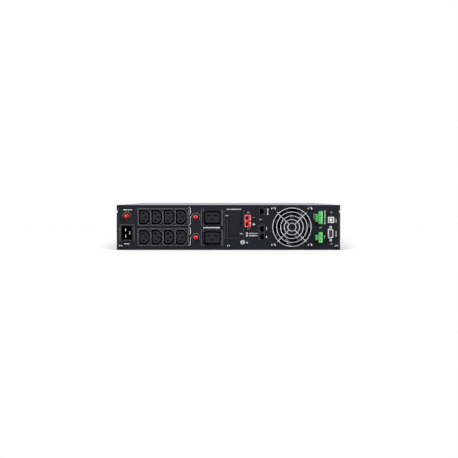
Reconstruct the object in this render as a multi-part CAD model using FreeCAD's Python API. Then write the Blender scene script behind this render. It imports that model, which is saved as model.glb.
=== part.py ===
"""Rack-mount uninterruptible power supply, two rack units high, one STEP file per sub-part.

Units are millimetres. The origin is on the underside, midway across and along the chassis.
-Y faces out of the connection panel, +Y out of the front bezel, +X is to the right when the
connection panel is looked at, and +Z is up.
"""
import FreeCAD, Part
import math
import os

# Chassis
WIDTH = 438.0
HEIGHT = 88.0
DEPTH = 640.0
SHEET = 1.2
BEZEL_DEPTH = 30.0
REAR = -DEPTH / 2
FRONT = DEPTH / 2
SHELL_FRONT = FRONT - BEZEL_DEPTH - 2.0
SIDE = WIDTH / 2
SEAM_LOW = 73.0
SEAM_HIGH = 77.0
JOGGLE = 2.2

# Connection panel
LIP = 1.5
PANEL_FACE = REAR + LIP
PANEL_THICK = 1.5
PANEL_BACK = PANEL_FACE + PANEL_THICK
GAP = 0.3

# Rack ears, to the two-unit hole pattern of a 19 inch rack
EAR_SPAN = 482.6
EAR_THICK = 2.0
EAR_FACE = 284.0
EAR_LEG = 52.0
EAR_HOLE_PITCH_X = 465.1
EAR_HOLE_PITCH_Z = 44.45
EAR_LOW = 7.0
EAR_HIGH = 81.0
EAR_SLOT_RADIUS = 3.4
EAR_SLOT_LENGTH = 10.3
EAR_SCREW_Y = (242.0, 270.0)
EAR_SCREW_Z = (22.0, 60.0)

# Fixing holes for support rails in the side walls
RAIL_HOLE_RADIUS = 1.65
RAIL_HOLE_Y = (-210.0, 90.0)
RAIL_HOLE_Z = 38.0

# Cover screws in the skirt
COVER_SCREW_Y = (-292.0, -110.0, 70.0, 206.0)
COVER_SCREW_Z = 82.0

# Mains inlet, 16 A pattern turned on its side
INLET_X = -199.1
INLET_Z = 33.0
INLET_CAVITY = (19.6, 29.4)
INLET_DEPTH = 22.0
BLADE_THICK = 2.0
BLADE_LONG = 8.0
BLADE_PITCH = 13.0
BLADE_OFFSET = 8.0

# Outlets of the 10 A pattern, turned on their side, in two banks of four
OUTLET_X = (-164.5, -140.4, -116.2, -92.0)
BANK_Z = {"upper": 64.4, "lower": 24.8}
BANK_LEFT = -178.0
BANK_RIGHT = -78.0
BANK_HALF_HEIGHT = 17.0
BANK_DEPTH = 26.0
MOAT = (21.2, 29.6)
MOAT_CHAMFER = 7.0
MOAT_CORNER = 2.4
MOAT_DEPTH = 17.0
CORE = (16.6, 24.0)
CORE_CHAMFER = 5.6
CORE_CORNER = 1.4
CONTACT_SLOT = (4.2, 2.2)
CONTACT_SLOTS = ((-2.4, 7.0), (-2.4, -7.0), (2.1, 0.0))
CONTACT_DEPTH = 12.0
RIM = 1.0

# Outlets of the 16 A pattern
LARGE_X = -31.5
LARGE_Z = (63.1, 23.6)
LARGE_FLANGE_LEFT = -53.7
LARGE_FLANGE_RIGHT = -10.7
LARGE_FLANGE_HALF = 15.8
LARGE_MOAT = (32.4, 26.0)
LARGE_CORE = (28.0, 20.5)
LARGE_SLOT = (6.4, 2.4)
LARGE_SLOTS = ((-7.4, 4.2), (6.3, 4.2), (-0.4, -3.8))

# Thermal breakers: centre of the button
BREAKERS = {"input": (-199.0, 66.2), "upper": (-64.2, 64.4), "lower": (-64.2, 24.6)}
BREAKER_NUT_RADIUS = 7.9
BREAKER_BUSH_RADIUS = 5.7
BREAKER_BORE_RADIUS = 4.75
BREAKER_BUTTON_RADIUS = 4.3
BREAKER_BODY = (14.0, 29.0, 34.0)

# Expansion slot cover
SLOT_LEFT = -1.7
SLOT_RIGHT = 24.1
SLOT_LOW = 22.0
SLOT_HIGH = 77.0
SLOT_SCREWS = ((-3.2, 66.4), (25.2, 30.8))
SLOT_SCREW_HEAD = 2.8

# External battery connector
BATTERY_PORT = (38.0, 56.7)
BATTERY_PORT_SIZE = (12.4, 24.2)
BATTERY_PORT_OUT = 7.0
BATTERY_PORT_POLES = (-6.1, 6.1)
BATTERY_POCKET = (4.8, 6.8)
BATTERY_STEP = 7.2
BATTERY_BAR = (3.9, 8.2)
BATTERY_PORT_SCREWS = ((39.2, 72.6), (39.3, 40.6))

# Ports
GROUND = (27.8, 14.9)
STOP_JACK = (66.3, 75.0)
STOP_JACK_SIZE = (13.6, 14.4)
STOP_MOUTH_X = 64.4
NETWORK_X = (57.8, 71.8)
NETWORK_Z = (18.4, 49.2)
NETWORK_CENTRES = (41.3, 25.7)
NETWORK_MOUTH_X = 66.6
JACK_MOUTH = (5.6, 11.6)
KEY_STEP = 1.7
USB = (200.9, 58.7)
USB_SHELL = 11.9
USB_MOUTH = 9.3
SERIAL = (200.05, 31.8)
SERIAL_OUT = 5.4
STANDOFF_PITCH = 25.0
STANDOFF_RADIUS = 2.75
STANDOFF_BORE = 1.4
PORT_SCREWS = ((63.1, 58.7), (180.6, 43.1), (201.6, 73.0), (201.6, 10.9))
PANEL_SCREWS = ((-211.8, 7.3), (0.1, 7.3), (211.8, 7.3))

# Screw terminals: (low Z, high Z) of the tall part and of the short block beside it
TERMINAL_LEFT = 170.2
TERMINAL_STEP = 176.3
TERMINAL_RIGHT = 183.6
TERMINALS = {"upper": ((51.0, 76.0), (55.2, 70.6)), "lower": ((14.2, 34.8), (19.5, 29.6))}
TERMINAL_OUT = 11.0
TERMINAL_NOSE = 8.0

# Fan
FAN_X = 124.1
FAN_Z = 44.5
FAN_SIZE = 80.0
FAN_DEPTH = 25.0
FAN_BORE = 38.4
FAN_HOLE_PITCH = 71.5
FAN_HUB = 17.0
BLADE_TIP = 37.0
BLADE_COUNT = 7
SHAFT_RADIUS = 1.5
GUARD_WIRE = 0.75
GUARD_EYE = 2.8
GUARD_BEND = 12.0
FAN_SCREW_HEAD = 4.3
GUARD_RINGS = (37.5, 29.8, 22.4, 15.2, 8.0)
GUARD_OUT = 6.0

# Electronics
FIN_PITCH = 8.4

# Battery drawer
TRAY_LEFT = 17.0
TRAY_RIGHT = 212.0
TRAY_LOW = 3.0
TRAY_HIGH = 70.0
TRAY_BACK = -170.0
TRAY_FRONT = 287.0
CELL = (94.0, 151.0, 65.0)
CELL_GAP = 0.5
BAY_WALL_X = 11.0

# Front bezel
BEZEL_SPLIT = 7.0
BEZEL_WALL = 2.5
BEZEL_TOP = HEIGHT - 0.6
BEZEL_BACK = FRONT - BEZEL_DEPTH
LOUVRE_PITCH = 6.5
LOUVRE_WIDTH = 3.0
LOUVRE_LOW = 14.0
LOUVRE_HIGH = 74.0
PULL_LEFT = 88.0
PULL_RIGHT = 138.0
PULL_LOW = 8.0
PULL_HIGH = 24.0
PULL_DEPTH = 16.0
DISPLAY_X = -160.0
DISPLAY_Z = 44.0
DISPLAY_RADIUS = 34.0
DISPLAY_PROUD = 1.5
DISPLAY_THICK = 19.0
JOURNAL_RADIUS = 8.0
WINDOW = (44.0, 26.0)
WINDOW_RISE = 8.0
KEY_RADIUS = 3.4
KEY_DROP = 17.0
KEYS = {"power": 16.5, "up": 5.5, "down": -5.5, "enter": -16.5}

Y_AXIS = FreeCAD.Vector(0, 1, 0)


def block(x, y, z):
    """A box between the two values of each pair."""
    low = FreeCAD.Vector(min(x), min(y), min(z))
    return Part.makeBox(abs(x[1] - x[0]), abs(y[1] - y[0]), abs(z[1] - z[0]), low)


def slab(centre, size, y):
    """A box given by its centre and size in X and Z, and its two ends in Y."""
    half_x = size[0] / 2
    half_z = size[1] / 2
    return block((centre[0] - half_x, centre[0] + half_x), y, (centre[1] - half_z, centre[1] + half_z))


def rod(centre, radius, y):
    """A cylinder along Y between the two values of y."""
    base = FreeCAD.Vector(centre[0], min(y), centre[1])
    return Part.makeCylinder(radius, abs(y[1] - y[0]), base, Y_AXIS)


def prism(points, y):
    """A polygon of X and Z points, extruded between the two values of y."""
    wire = Part.makePolygon([FreeCAD.Vector(px, min(y), pz) for px, pz in points + points[:1]])
    return Part.Face(wire).extrude(FreeCAD.Vector(0, abs(y[1] - y[0]), 0))


def union(shapes):
    return shapes[0].fuse(shapes[1:]).removeSplitter()


def rounded(shape, radius):
    """Round the edges of a box that run along Y."""
    edges = [e for e in shape.Edges if abs(e.tangentAt(e.FirstParameter).y) > 0.999]
    return shape.makeFillet(radius, edges)


def softened(shape, radius, y):
    """Round the edges of a shape that lie in the plane at y."""
    edges = [e for e in shape.Edges if abs(e.BoundBox.YMin - y) < 0.001 and abs(e.BoundBox.YMax - y) < 0.001]
    return shape.makeFillet(radius, edges)


def bevelled(shape, size, y):
    """Chamfer the edges of a shape that lie in the plane at y."""
    edges = [e for e in shape.Edges if abs(e.BoundBox.YMin - y) < 0.001 and abs(e.BoundBox.YMax - y) < 0.001]
    return shape.makeChamfer(size, edges)


def clipped_outline(centre, size, cut, small):
    """A rectangle with its corners cut off: by cut on the +X side and by small on the -X side."""
    left = centre[0] - size[0] / 2
    right = centre[0] + size[0] / 2
    low = centre[1] - size[1] / 2
    high = centre[1] + size[1] / 2
    return [(left + small, low), (right - cut, low), (right, low + cut), (right, high - cut),
            (right - cut, high), (left + small, high), (left, high - small), (left, low + small)]


def pan_screw(head_radius, head_height, shank_radius, shank_length, slotted=False):
    """A pan-head screw at the origin: the head stands out towards -Y from the plane Y = 0."""
    head = softened(rod((0, 0), head_radius, (-head_height, 0)), head_height * 0.55, -head_height)
    groove = head_radius * 0.26
    reach = head_radius * (2.2 if slotted else 1.15)
    tools = [slab((0, 0), (groove, reach), (-head_height - 1, -head_height * 0.45))]
    if not slotted:
        tools.append(slab((0, 0), (reach, groove), (-head_height - 1, -head_height * 0.45)))
    shank = rod((0, 0), shank_radius, (0, shank_length))
    return head.cut(tools).fuse(shank).removeSplitter()


def panel_screw(centre, head_radius=2.9, head_height=1.9, shank_length=5.0, out=0.0, slotted=False):
    """A pan-head screw seated on the connection panel, or out mm in front of it."""
    screw = pan_screw(head_radius, head_height, 1.4, shank_length + out, slotted)
    screw.translate(FreeCAD.Vector(centre[0], PANEL_FACE - out, centre[1]))
    return screw


def side_screw(side, surface, y, z, head_radius, head_height, shank_length):
    """A pan-head screw in a side wall. side is 1 for +X and -1 for -X."""
    screw = pan_screw(head_radius, head_height, 1.4, shank_length)
    screw.rotate(FreeCAD.Vector(0, 0, 0), FreeCAD.Vector(0, 0, 1), 90 * side)
    screw.translate(FreeCAD.Vector(side * surface, y, z))
    return screw


def side_bore(side, radius, y, z):
    """A drill along X through one side wall."""
    base = FreeCAD.Vector(side * (SIDE - 8), y, z)
    return Part.makeCylinder(radius, 16, base, FreeCAD.Vector(side, 0, 0))


# Chassis

def chassis_base():
    """Bottom and side walls bent from one sheet, stepped in near the top to lie under the cover."""
    inner = SIDE - SHEET
    step = SIDE - JOGGLE
    half = [(SIDE, 0), (SIDE, SEAM_LOW), (step, SEAM_LOW), (step, HEIGHT - 1.6),
            (step - SHEET, HEIGHT - 1.6), (step - SHEET, SEAM_LOW - SHEET), (inner, SEAM_LOW - SHEET),
            (inner, SHEET)]
    mirrored = [(-px, pz) for px, pz in reversed(half)]
    shell = prism(half + mirrored, (REAR, SHELL_FRONT))
    tabs = [slab((px, SHEET + 5.4), (11.0, 10.8), (PANEL_BACK, PANEL_BACK + 1.5)) for px, _ in PANEL_SCREWS]
    shell = union([shell] + tabs)
    holes = [rod(point, 1.5, (PANEL_FACE, PANEL_BACK + 4)) for point in PANEL_SCREWS]
    for side in (-1, 1):
        holes.append(block((side * (SIDE - 8), side * inner), (REAR - 1, PANEL_BACK + GAP),
                           (SEAM_LOW - 2 * SHEET, HEIGHT)))
        holes += [side_bore(side, 1.5, y, COVER_SCREW_Z) for y in COVER_SCREW_Y]
        holes += [side_bore(side, 1.5, y, z) for y in EAR_SCREW_Y for z in EAR_SCREW_Z]
        holes += [side_bore(side, RAIL_HOLE_RADIUS, y, RAIL_HOLE_Z) for y in RAIL_HOLE_Y]
    return shell.cut(holes)


def top_cover():
    """Lid with a short skirt on each side."""
    inner = SIDE - SHEET
    under = HEIGHT - SHEET
    outline = [(-SIDE, SEAM_HIGH), (-SIDE, HEIGHT), (SIDE, HEIGHT), (SIDE, SEAM_HIGH), (inner, SEAM_HIGH),
               (inner, under), (-inner, under), (-inner, SEAM_HIGH)]
    shell = prism(outline, (REAR, SHELL_FRONT))
    corners = [e for e in shell.Edges
               if abs(e.BoundBox.ZMin - HEIGHT) < 0.001 and abs(abs(e.BoundBox.XMin) - SIDE) < 0.001
               and e.BoundBox.YLength > DEPTH / 2]
    shell = shell.makeFillet(0.8, corners)
    return shell.cut([side_bore(side, 1.5, y, COVER_SCREW_Z) for side in (-1, 1) for y in COVER_SCREW_Y])


def cover_screws():
    surface = SIDE
    return Part.makeCompound([side_screw(side, surface, y, COVER_SCREW_Z, 2.7, 1.3, 4.4)
                              for side in (-1, 1) for y in COVER_SCREW_Y])


def rack_ear(side):
    """Bent bracket with slotted holes, on the side wall behind the bezel."""
    leg = block((side * SIDE, side * (SIDE + EAR_THICK)), (EAR_FACE - EAR_LEG, EAR_FACE),
                (EAR_LOW, SEAM_LOW - 3))
    flange = block((side * SIDE, side * EAR_SPAN / 2), (EAR_FACE - EAR_THICK, EAR_FACE), (EAR_LOW, EAR_HIGH))
    flange = rounded(flange, 1.5)
    ear = union([leg, flange])
    tools = [side_bore(side, 1.5, y, z) for y in EAR_SCREW_Y for z in EAR_SCREW_Z]
    half_slot = EAR_SLOT_LENGTH / 2 - EAR_SLOT_RADIUS
    cut = (EAR_FACE - 5, EAR_FACE + 3)
    for sign in (-1, 1):
        centre_x = side * EAR_HOLE_PITCH_X / 2
        centre_z = HEIGHT / 2 + sign * EAR_HOLE_PITCH_Z / 2
        ends = [rod((centre_x + dx, centre_z), EAR_SLOT_RADIUS, cut) for dx in (-half_slot, half_slot)]
        middle = slab((centre_x, centre_z), (2 * half_slot, 2 * EAR_SLOT_RADIUS), cut)
        tools.append(union([middle] + ends))
    return ear.cut(tools)


def ear_screws():
    return Part.makeCompound([side_screw(side, SIDE + EAR_THICK, y, z, 3.4, 1.7, 5.5)
                              for side in (-1, 1) for y in EAR_SCREW_Y for z in EAR_SCREW_Z])


def front_frame():
    """Steel front behind the bezel, open for the battery drawer and slotted for air."""
    plate = block((-SIDE + 4, SIDE - 4), (SHELL_FRONT - 1.5, SHELL_FRONT), (SHEET, HEIGHT - 2.0))
    tools = [block((TRAY_LEFT - 1.5, TRAY_RIGHT + 1.5), (SHELL_FRONT - 3, SHELL_FRONT + 1), (2.0, 82.0))]
    for column in range(15):
        left = -110.0 + column * 7.0
        tools.append(block((left, left + 3.5), (SHELL_FRONT - 3, SHELL_FRONT + 1), (12.0, 76.0)))
    return plate.cut(tools)


def bay_wall():
    """Sheet between the electronics and the battery bay."""
    return block((BAY_WALL_X, BAY_WALL_X + SHEET), (TRAY_BACK - 20, SHELL_FRONT - 1.5), (SHEET, HEIGHT - 2.0))


def tray_guides():
    """Channels that the battery drawer runs in."""
    guides = []
    for inner, outer in ((TRAY_LEFT - 1.2, BAY_WALL_X + SHEET), (TRAY_RIGHT + 1.2, SIDE - SHEET)):
        direction = 1 if inner < outer else -1
        web = block((inner, inner + direction * 1.2), (TRAY_BACK, SHELL_FRONT - 2), (SHEET, 40.0))
        shelf = block((inner, inner - direction * 14.0), (TRAY_BACK, SHELL_FRONT - 2), (SHEET, 2.8))
        guides.append(union([web, shelf]))
    return Part.makeCompound(guides)


# Connection panel

def rear_panel():
    """Plate with every cut-out, and a flange folded in at each side."""
    edge = SIDE - SHEET - 0.4
    plate = block((-edge, edge), (PANEL_FACE, PANEL_BACK), (SHEET + 0.4, HEIGHT - SHEET - 0.4))
    flanges = [block((side * (edge - SHEET), side * edge), (PANEL_BACK - 0.5, PANEL_BACK + 10), (16.0, 70.0))
               for side in (-1, 1)]
    through = (PANEL_FACE - 2, PANEL_BACK + 2)
    tools = [inlet_body(GAP, through)]
    tools += [bank_body(centre, GAP, through) for centre in BANK_Z.values()]
    tools += [large_outlet_body(centre, GAP, through) for centre in LARGE_Z]
    tools += [rod(centre, BREAKER_BUSH_RADIUS + 0.1, through) for centre in BREAKERS.values()]
    tools.append(block((SLOT_LEFT + 3, SLOT_RIGHT - 3), through, (SLOT_LOW + 4, SLOT_HIGH - 4)))
    tools.append(battery_port_body(GAP, through))
    tools.append(slab(STOP_JACK, (STOP_JACK_SIZE[0] - 1.0, STOP_JACK_SIZE[1] - 1.0), through))
    tools.append(block((NETWORK_X[0] + 0.5, NETWORK_X[1] - 0.5), through,
                       (NETWORK_Z[0] + 0.5, NETWORK_Z[1] - 0.5)))
    tools.append(slab(USB, (USB_SHELL + GAP, USB_SHELL + GAP), through))
    tools.append(prism(serial_outline(0.3), through))
    tools += [rod(centre, 1.7, through) for centre in standoff_centres()]
    tools += [terminal_outline(name, -0.6, through) for name in TERMINALS]
    tools.append(rod((FAN_X, FAN_Z), FAN_BORE - 0.4, through))
    tools += [rod(point, 2.1, through) for point in fan_corners()]
    screw_points = PORT_SCREWS + PANEL_SCREWS + SLOT_SCREWS + BATTERY_PORT_SCREWS
    tools += [rod(point, 1.5, through) for point in screw_points]
    tools.append(rod(GROUND, 2.6, through))
    return union([plate] + flanges).cut(tools)


def rear_panel_screws():
    return Part.makeCompound([panel_screw(point, 2.9, 1.9, 4.0) for point in PANEL_SCREWS])


def port_screws():
    return Part.makeCompound([panel_screw(point, 2.5, 1.7, 4.0) for point in PORT_SCREWS])


def inlet_body(clearance, y):
    return slab((INLET_X, INLET_Z), (23.0 + 2 * clearance, 32.0 + 2 * clearance), y)


def inlet_housing():
    """Shrouded inlet with a flange and a raised rim round its cavity."""
    centre = (INLET_X, INLET_Z)
    flange = block((-214.3, -184.2), (PANEL_FACE - 1.2, PANEL_FACE), (16.2, 49.8))
    flange = softened(rounded(flange, 2.0), 0.4, PANEL_FACE - 1.2)
    mouth = PANEL_FACE - 2.6
    rim = softened(rounded(slab(centre, (24.4, 33.0), (mouth, PANEL_FACE)), 3.0), 0.5, mouth)
    body = inlet_body(0, (PANEL_FACE, PANEL_FACE + INLET_DEPTH + 3))
    cavity = rounded(slab(centre, INLET_CAVITY, (PANEL_FACE - 4, PANEL_FACE + INLET_DEPTH)), 3.0)
    return union([flange, rim, body]).cut(cavity)


def inlet_pins():
    """Flat blades with bevelled tips: line and neutral one above the other, earth beside them."""
    left = INLET_X - 2.9
    size = (BLADE_THICK, BLADE_LONG)
    centres = [(left, INLET_Z + BLADE_PITCH / 2), (left, INLET_Z - BLADE_PITCH / 2),
               (left + BLADE_OFFSET, INLET_Z)]
    y = (PANEL_FACE + 3, PANEL_FACE + INLET_DEPTH)
    return Part.makeCompound([bevelled(slab(centre, size, y), 0.5, y[0]) for centre in centres])


def bank_body(centre_z, clearance, y):
    middle = (BANK_LEFT + BANK_RIGHT) / 2
    width = BANK_RIGHT - BANK_LEFT - 2.4
    return slab((middle, centre_z), (width + 2 * clearance, 2 * (BANK_HALF_HEIGHT - 1.0 + clearance)), y)


def outlet_bank(centre_z):
    """Housing of four outlets: each is a deep moat with a raised rim."""
    flange = block((BANK_LEFT, BANK_RIGHT), (PANEL_FACE - 1.2, PANEL_FACE),
                   (centre_z - BANK_HALF_HEIGHT, centre_z + BANK_HALF_HEIGHT))
    flange = softened(rounded(flange, 1.5), 0.4, PANEL_FACE - 1.2)
    solids = [flange, bank_body(centre_z, 0, (PANEL_FACE, PANEL_FACE + BANK_DEPTH))]
    moats = []
    for centre_x in OUTLET_X:
        centre = (centre_x, centre_z)
        rim_size = (MOAT[0] + 2 * RIM, MOAT[1] + 2 * RIM)
        rim = prism(clipped_outline(centre, rim_size, MOAT_CHAMFER + RIM * 0.6, MOAT_CORNER + RIM * 0.6),
                    (PANEL_FACE - 2.2, PANEL_FACE))
        solids.append(bevelled(rim, 0.4, PANEL_FACE - 2.2))
        moats.append(prism(clipped_outline(centre, MOAT, MOAT_CHAMFER, MOAT_CORNER),
                           (PANEL_FACE - 4, PANEL_FACE + MOAT_DEPTH)))
    return union(solids).cut(moats)


def outlet_cores():
    """Insulating cores that stand in the moats, each with three contact slots."""
    cores = []
    for centre_z in BANK_Z.values():
        for centre_x in OUTLET_X:
            face = PANEL_FACE - 1.8
            core = prism(clipped_outline((centre_x, centre_z), CORE, CORE_CHAMFER, CORE_CORNER),
                         (face, PANEL_FACE + MOAT_DEPTH))
            core = bevelled(core, 0.6, face)
            slots = [slab((centre_x + dx, centre_z + dz), CONTACT_SLOT, (face - 1, face + CONTACT_DEPTH))
                     for dx, dz in CONTACT_SLOTS]
            cores.append(core.cut(slots))
    return Part.makeCompound(cores)


def large_outlet_body(centre_z, clearance, y):
    middle = (LARGE_FLANGE_LEFT + LARGE_FLANGE_RIGHT) / 2
    return slab((middle, centre_z), (37.6 + 2 * clearance, 28.6 + 2 * clearance), y)


def large_outlet_housings():
    """Two 16 A outlets with snap-in flanges."""
    housings = []
    for centre_z in LARGE_Z:
        flange = block((LARGE_FLANGE_LEFT, LARGE_FLANGE_RIGHT), (PANEL_FACE - 1.4, PANEL_FACE),
                       (centre_z - LARGE_FLANGE_HALF, centre_z + LARGE_FLANGE_HALF))
        flange = softened(rounded(flange, 1.2), 0.4, PANEL_FACE - 1.4)
        body = large_outlet_body(centre_z, 0, (PANEL_FACE, PANEL_FACE + BANK_DEPTH))
        rim = rounded(slab((LARGE_X, centre_z), (LARGE_MOAT[0] + 2.0, LARGE_MOAT[1] + 2.0),
                           (PANEL_FACE - 2.4, PANEL_FACE)), 4.0)
        rim = bevelled(rim, 0.4, PANEL_FACE - 2.4)
        moat = rounded(slab((LARGE_X, centre_z), LARGE_MOAT, (PANEL_FACE - 4, PANEL_FACE + MOAT_DEPTH)), 3.4)
        housings.append(union([flange, body, rim]).cut(moat))
    return Part.makeCompound(housings)


def large_outlet_cores():
    cores = []
    for centre_z in LARGE_Z:
        face = PANEL_FACE - 2.0
        core = rounded(slab((LARGE_X, centre_z), LARGE_CORE, (face, PANEL_FACE + MOAT_DEPTH)), 2.6)
        core = bevelled(core, 0.6, face)
        slots = [slab((LARGE_X + dx, centre_z + dz), LARGE_SLOT, (face - 1, face + CONTACT_DEPTH))
                 for dx, dz in LARGE_SLOTS]
        cores.append(core.cut(slots))
    return Part.makeCompound(cores)


def breaker_bodies():
    """Breaker blocks behind the panel, each with a bush that comes through it."""
    bodies = []
    wide, high, deep = BREAKER_BODY
    for centre in BREAKERS.values():
        case = slab(centre, (wide, high), (PANEL_BACK, PANEL_BACK + deep))
        bush = rod(centre, BREAKER_BUSH_RADIUS, (PANEL_FACE - 4.2, PANEL_BACK))
        bore = rod(centre, BREAKER_BORE_RADIUS, (PANEL_FACE - 6, PANEL_BACK + 12))
        bodies.append(union([case, bush]).cut(bore))
    return Part.makeCompound(bodies)


def breaker_nuts():
    """Ring nuts that hold the breakers."""
    nuts = []
    for centre in BREAKERS.values():
        nut = rod(centre, BREAKER_NUT_RADIUS, (PANEL_FACE - 3.2, PANEL_FACE))
        nut = softened(nut, 0.8, PANEL_FACE - 3.2)
        nuts.append(nut.cut(rod(centre, BREAKER_BUSH_RADIUS, (PANEL_FACE - 5, PANEL_FACE + 1))))
    return Part.makeCompound(nuts)


def breaker_button(name):
    """Reset button: a domed cap on a stem inside the bush."""
    centre = BREAKERS[name]
    cap = rod(centre, BREAKER_BUTTON_RADIUS, (PANEL_FACE - 6.6, PANEL_BACK + 6))
    return softened(cap, 1.3, PANEL_FACE - 6.6)


def slot_cover():
    """Blanking plate with an ear for each screw, and a folded stiffening edge."""
    y = (PANEL_FACE - 1.2, PANEL_FACE)
    plate = block((SLOT_LEFT, SLOT_RIGHT), y, (SLOT_LOW, SLOT_HIGH))
    left_ear = block((SLOT_LEFT - 5.6, SLOT_LEFT), y, (SLOT_SCREWS[0][1] - 5, SLOT_SCREWS[0][1] + 5))
    right_ear = block((SLOT_RIGHT, SLOT_RIGHT + 5.6), y, (SLOT_SCREWS[1][1] - 5, SLOT_SCREWS[1][1] + 5))
    fold = block((SLOT_LEFT, SLOT_LEFT + 1.2), (PANEL_FACE - 2.6, PANEL_FACE), (SLOT_LOW + 2, SLOT_HIGH - 2))
    fold = fold.cut(rod(SLOT_SCREWS[0], SLOT_SCREW_HEAD + 0.8, (PANEL_FACE - 4, PANEL_FACE - 1.2)))
    cover = union([plate, left_ear, right_ear, fold])
    return cover.cut([rod(point, 1.5, (PANEL_FACE - 4, PANEL_FACE + 1)) for point in SLOT_SCREWS])


def slot_cover_screws():
    screws = [panel_screw(point, SLOT_SCREW_HEAD, 1.9, 4.0, out=1.2) for point in SLOT_SCREWS]
    return Part.makeCompound(screws)


def battery_port_body(clearance, y):
    return slab(BATTERY_PORT, (BATTERY_PORT_SIZE[0] + 2 * clearance, BATTERY_PORT_SIZE[1] + 2 * clearance), y)


def battery_port_housing():
    """Two-pole power connector: a contact pocket and a keyed bar beside it for each pole."""
    left = BATTERY_PORT[0] - BATTERY_PORT_SIZE[0] / 2
    right = left + BATTERY_PORT_SIZE[0]
    outer = PANEL_FACE - BATTERY_PORT_OUT
    body = battery_port_body(0, (outer, PANEL_FACE + 26))
    body = softened(rounded(body, 0.8), 0.4, outer)
    half = BATTERY_PORT_SIZE[1] / 2
    step = block((left + BATTERY_STEP, right + 1), (outer - 1, PANEL_FACE - 1.5),
                 (BATTERY_PORT[1] - half - 1, BATTERY_PORT[1] + half + 1))
    pockets = [slab((left + 4.5, BATTERY_PORT[1] + dz), BATTERY_POCKET, (outer - 1, outer + 16))
               for dz in BATTERY_PORT_POLES]
    bars = [slab((left + BATTERY_STEP + BATTERY_BAR[0] / 2 + 0.3, BATTERY_PORT[1] + dz), BATTERY_BAR,
                 (outer, PANEL_FACE - 1)) for dz in BATTERY_PORT_POLES]
    bars = [softened(bar, 0.4, outer) for bar in bars]
    return union([body.cut([step])] + bars).cut(pockets)


def battery_port_contacts():
    left = BATTERY_PORT[0] - BATTERY_PORT_SIZE[0] / 2
    outer = PANEL_FACE - BATTERY_PORT_OUT
    return Part.makeCompound([slab((left + 5.9, BATTERY_PORT[1] + dz), (1.2, 5.6), (outer + 12, outer + 16))
                              for dz in BATTERY_PORT_POLES])


def battery_port_screws():
    return Part.makeCompound([panel_screw(point, 2.5, 1.7, 4.0) for point in BATTERY_PORT_SCREWS])


def ground_screw():
    """Slotted screw with a plain washer under its head."""
    screw = pan_screw(4.5, 3.0, 2.4, 8.0, slotted=True)
    washer = rod((0, 0), 4.8, (-0.01, 0.9))
    screw = union([screw, washer])
    screw.translate(FreeCAD.Vector(GROUND[0], PANEL_FACE - 0.9, GROUND[1]))
    return screw


def jack_cavity(centre, key, y):
    """Plug space with its latch key to one side, in two steps. key is -1 for -X and 1 for +X."""
    wide, high = JACK_MOUTH
    spaces = [slab(centre, JACK_MOUTH, y)]
    for order, share in enumerate((0.6, 0.28)):
        middle = centre[0] + key * (wide / 2 + (order + 0.5) * KEY_STEP - 0.1)
        spaces.append(slab((middle, centre[1]), (KEY_STEP + 0.2, high * share), y))
    return union(spaces)


def emergency_jack():
    """Modular jack for the remote power-off loop."""
    frame = softened(slab(STOP_JACK, STOP_JACK_SIZE, (PANEL_FACE - 1.4, PANEL_FACE)), 0.4, PANEL_FACE - 1.4)
    inner = (STOP_JACK_SIZE[0] - 1.6, STOP_JACK_SIZE[1] - 1.6)
    body = slab(STOP_JACK, inner, (PANEL_FACE, PANEL_FACE + 17))
    cavity = jack_cavity((STOP_MOUTH_X, STOP_JACK[1]), 1, (PANEL_FACE - 3, PANEL_FACE + 14))
    return union([frame, body]).cut(cavity)


def network_jacks():
    """Two stacked network jacks in one body."""
    centre = ((NETWORK_X[0] + NETWORK_X[1]) / 2, (NETWORK_Z[0] + NETWORK_Z[1]) / 2)
    size = (NETWORK_X[1] - NETWORK_X[0], NETWORK_Z[1] - NETWORK_Z[0])
    frame = softened(slab(centre, size, (PANEL_FACE - 1.6, PANEL_FACE)), 0.4, PANEL_FACE - 1.6)
    body = slab(centre, (size[0] - 1.6, size[1] - 1.6), (PANEL_FACE, PANEL_FACE + 19))
    y = (PANEL_FACE - 3, PANEL_FACE + 15)
    cavities = [jack_cavity((NETWORK_MOUTH_X, z), -1, y) for z in NETWORK_CENTRES]
    return union([frame, body]).cut(cavities)


def usb_port():
    """Square port: metal shell round a thick tongue."""
    y = (PANEL_FACE - 1.6, PANEL_FACE + 16)
    shell = softened(rounded(slab(USB, (USB_SHELL, USB_SHELL), y), 0.8), 0.3, y[0])
    shell = shell.cut(slab(USB, (USB_MOUTH, USB_MOUTH), (y[0] - 1, PANEL_FACE + 12)))
    tongue = slab((USB[0] - 0.2, USB[1] + 0.4), (3.2, 4.6), (PANEL_FACE, PANEL_FACE + 12.5))
    return union([shell, tongue])


def serial_outline(grow):
    """Slanted outline of the nine-pin shell, its long side to the left."""
    half = 4.9 + grow
    long_side = 9.4 + grow
    short_side = 7.6 + grow
    left = SERIAL[0] - half
    right = SERIAL[0] + half
    return [(left, SERIAL[1] - long_side), (right, SERIAL[1] - short_side), (right, SERIAL[1] + short_side),
            (left, SERIAL[1] + long_side)]


def serial_port():
    """Nine-pole connector: shell, insulator with its holes, and the plate behind the panel."""
    mouth = PANEL_FACE - SERIAL_OUT
    shell = softened(rounded(prism(serial_outline(0), (mouth, PANEL_FACE + 12)), 1.6), 0.4, mouth)
    plate = rounded(slab(SERIAL, (12.6, 31.0), (PANEL_BACK, PANEL_BACK + 0.8)), 1.0)
    tools = [rod(centre, 1.7, (PANEL_BACK - 1, PANEL_BACK + 2)) for centre in standoff_centres()]
    tools.append(rounded(prism(serial_outline(-1.1), (mouth - 1, mouth + 2.5)), 1.0))
    for column, count in ((-1.4, 5), (1.4, 4)):
        for index in range(count):
            dz = (index - (count - 1) / 2) * 2.77
            tools.append(rod((SERIAL[0] + column, SERIAL[1] + dz), 0.6, (mouth, PANEL_FACE + 2)))
    return union([shell, plate]).cut(tools)


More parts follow.
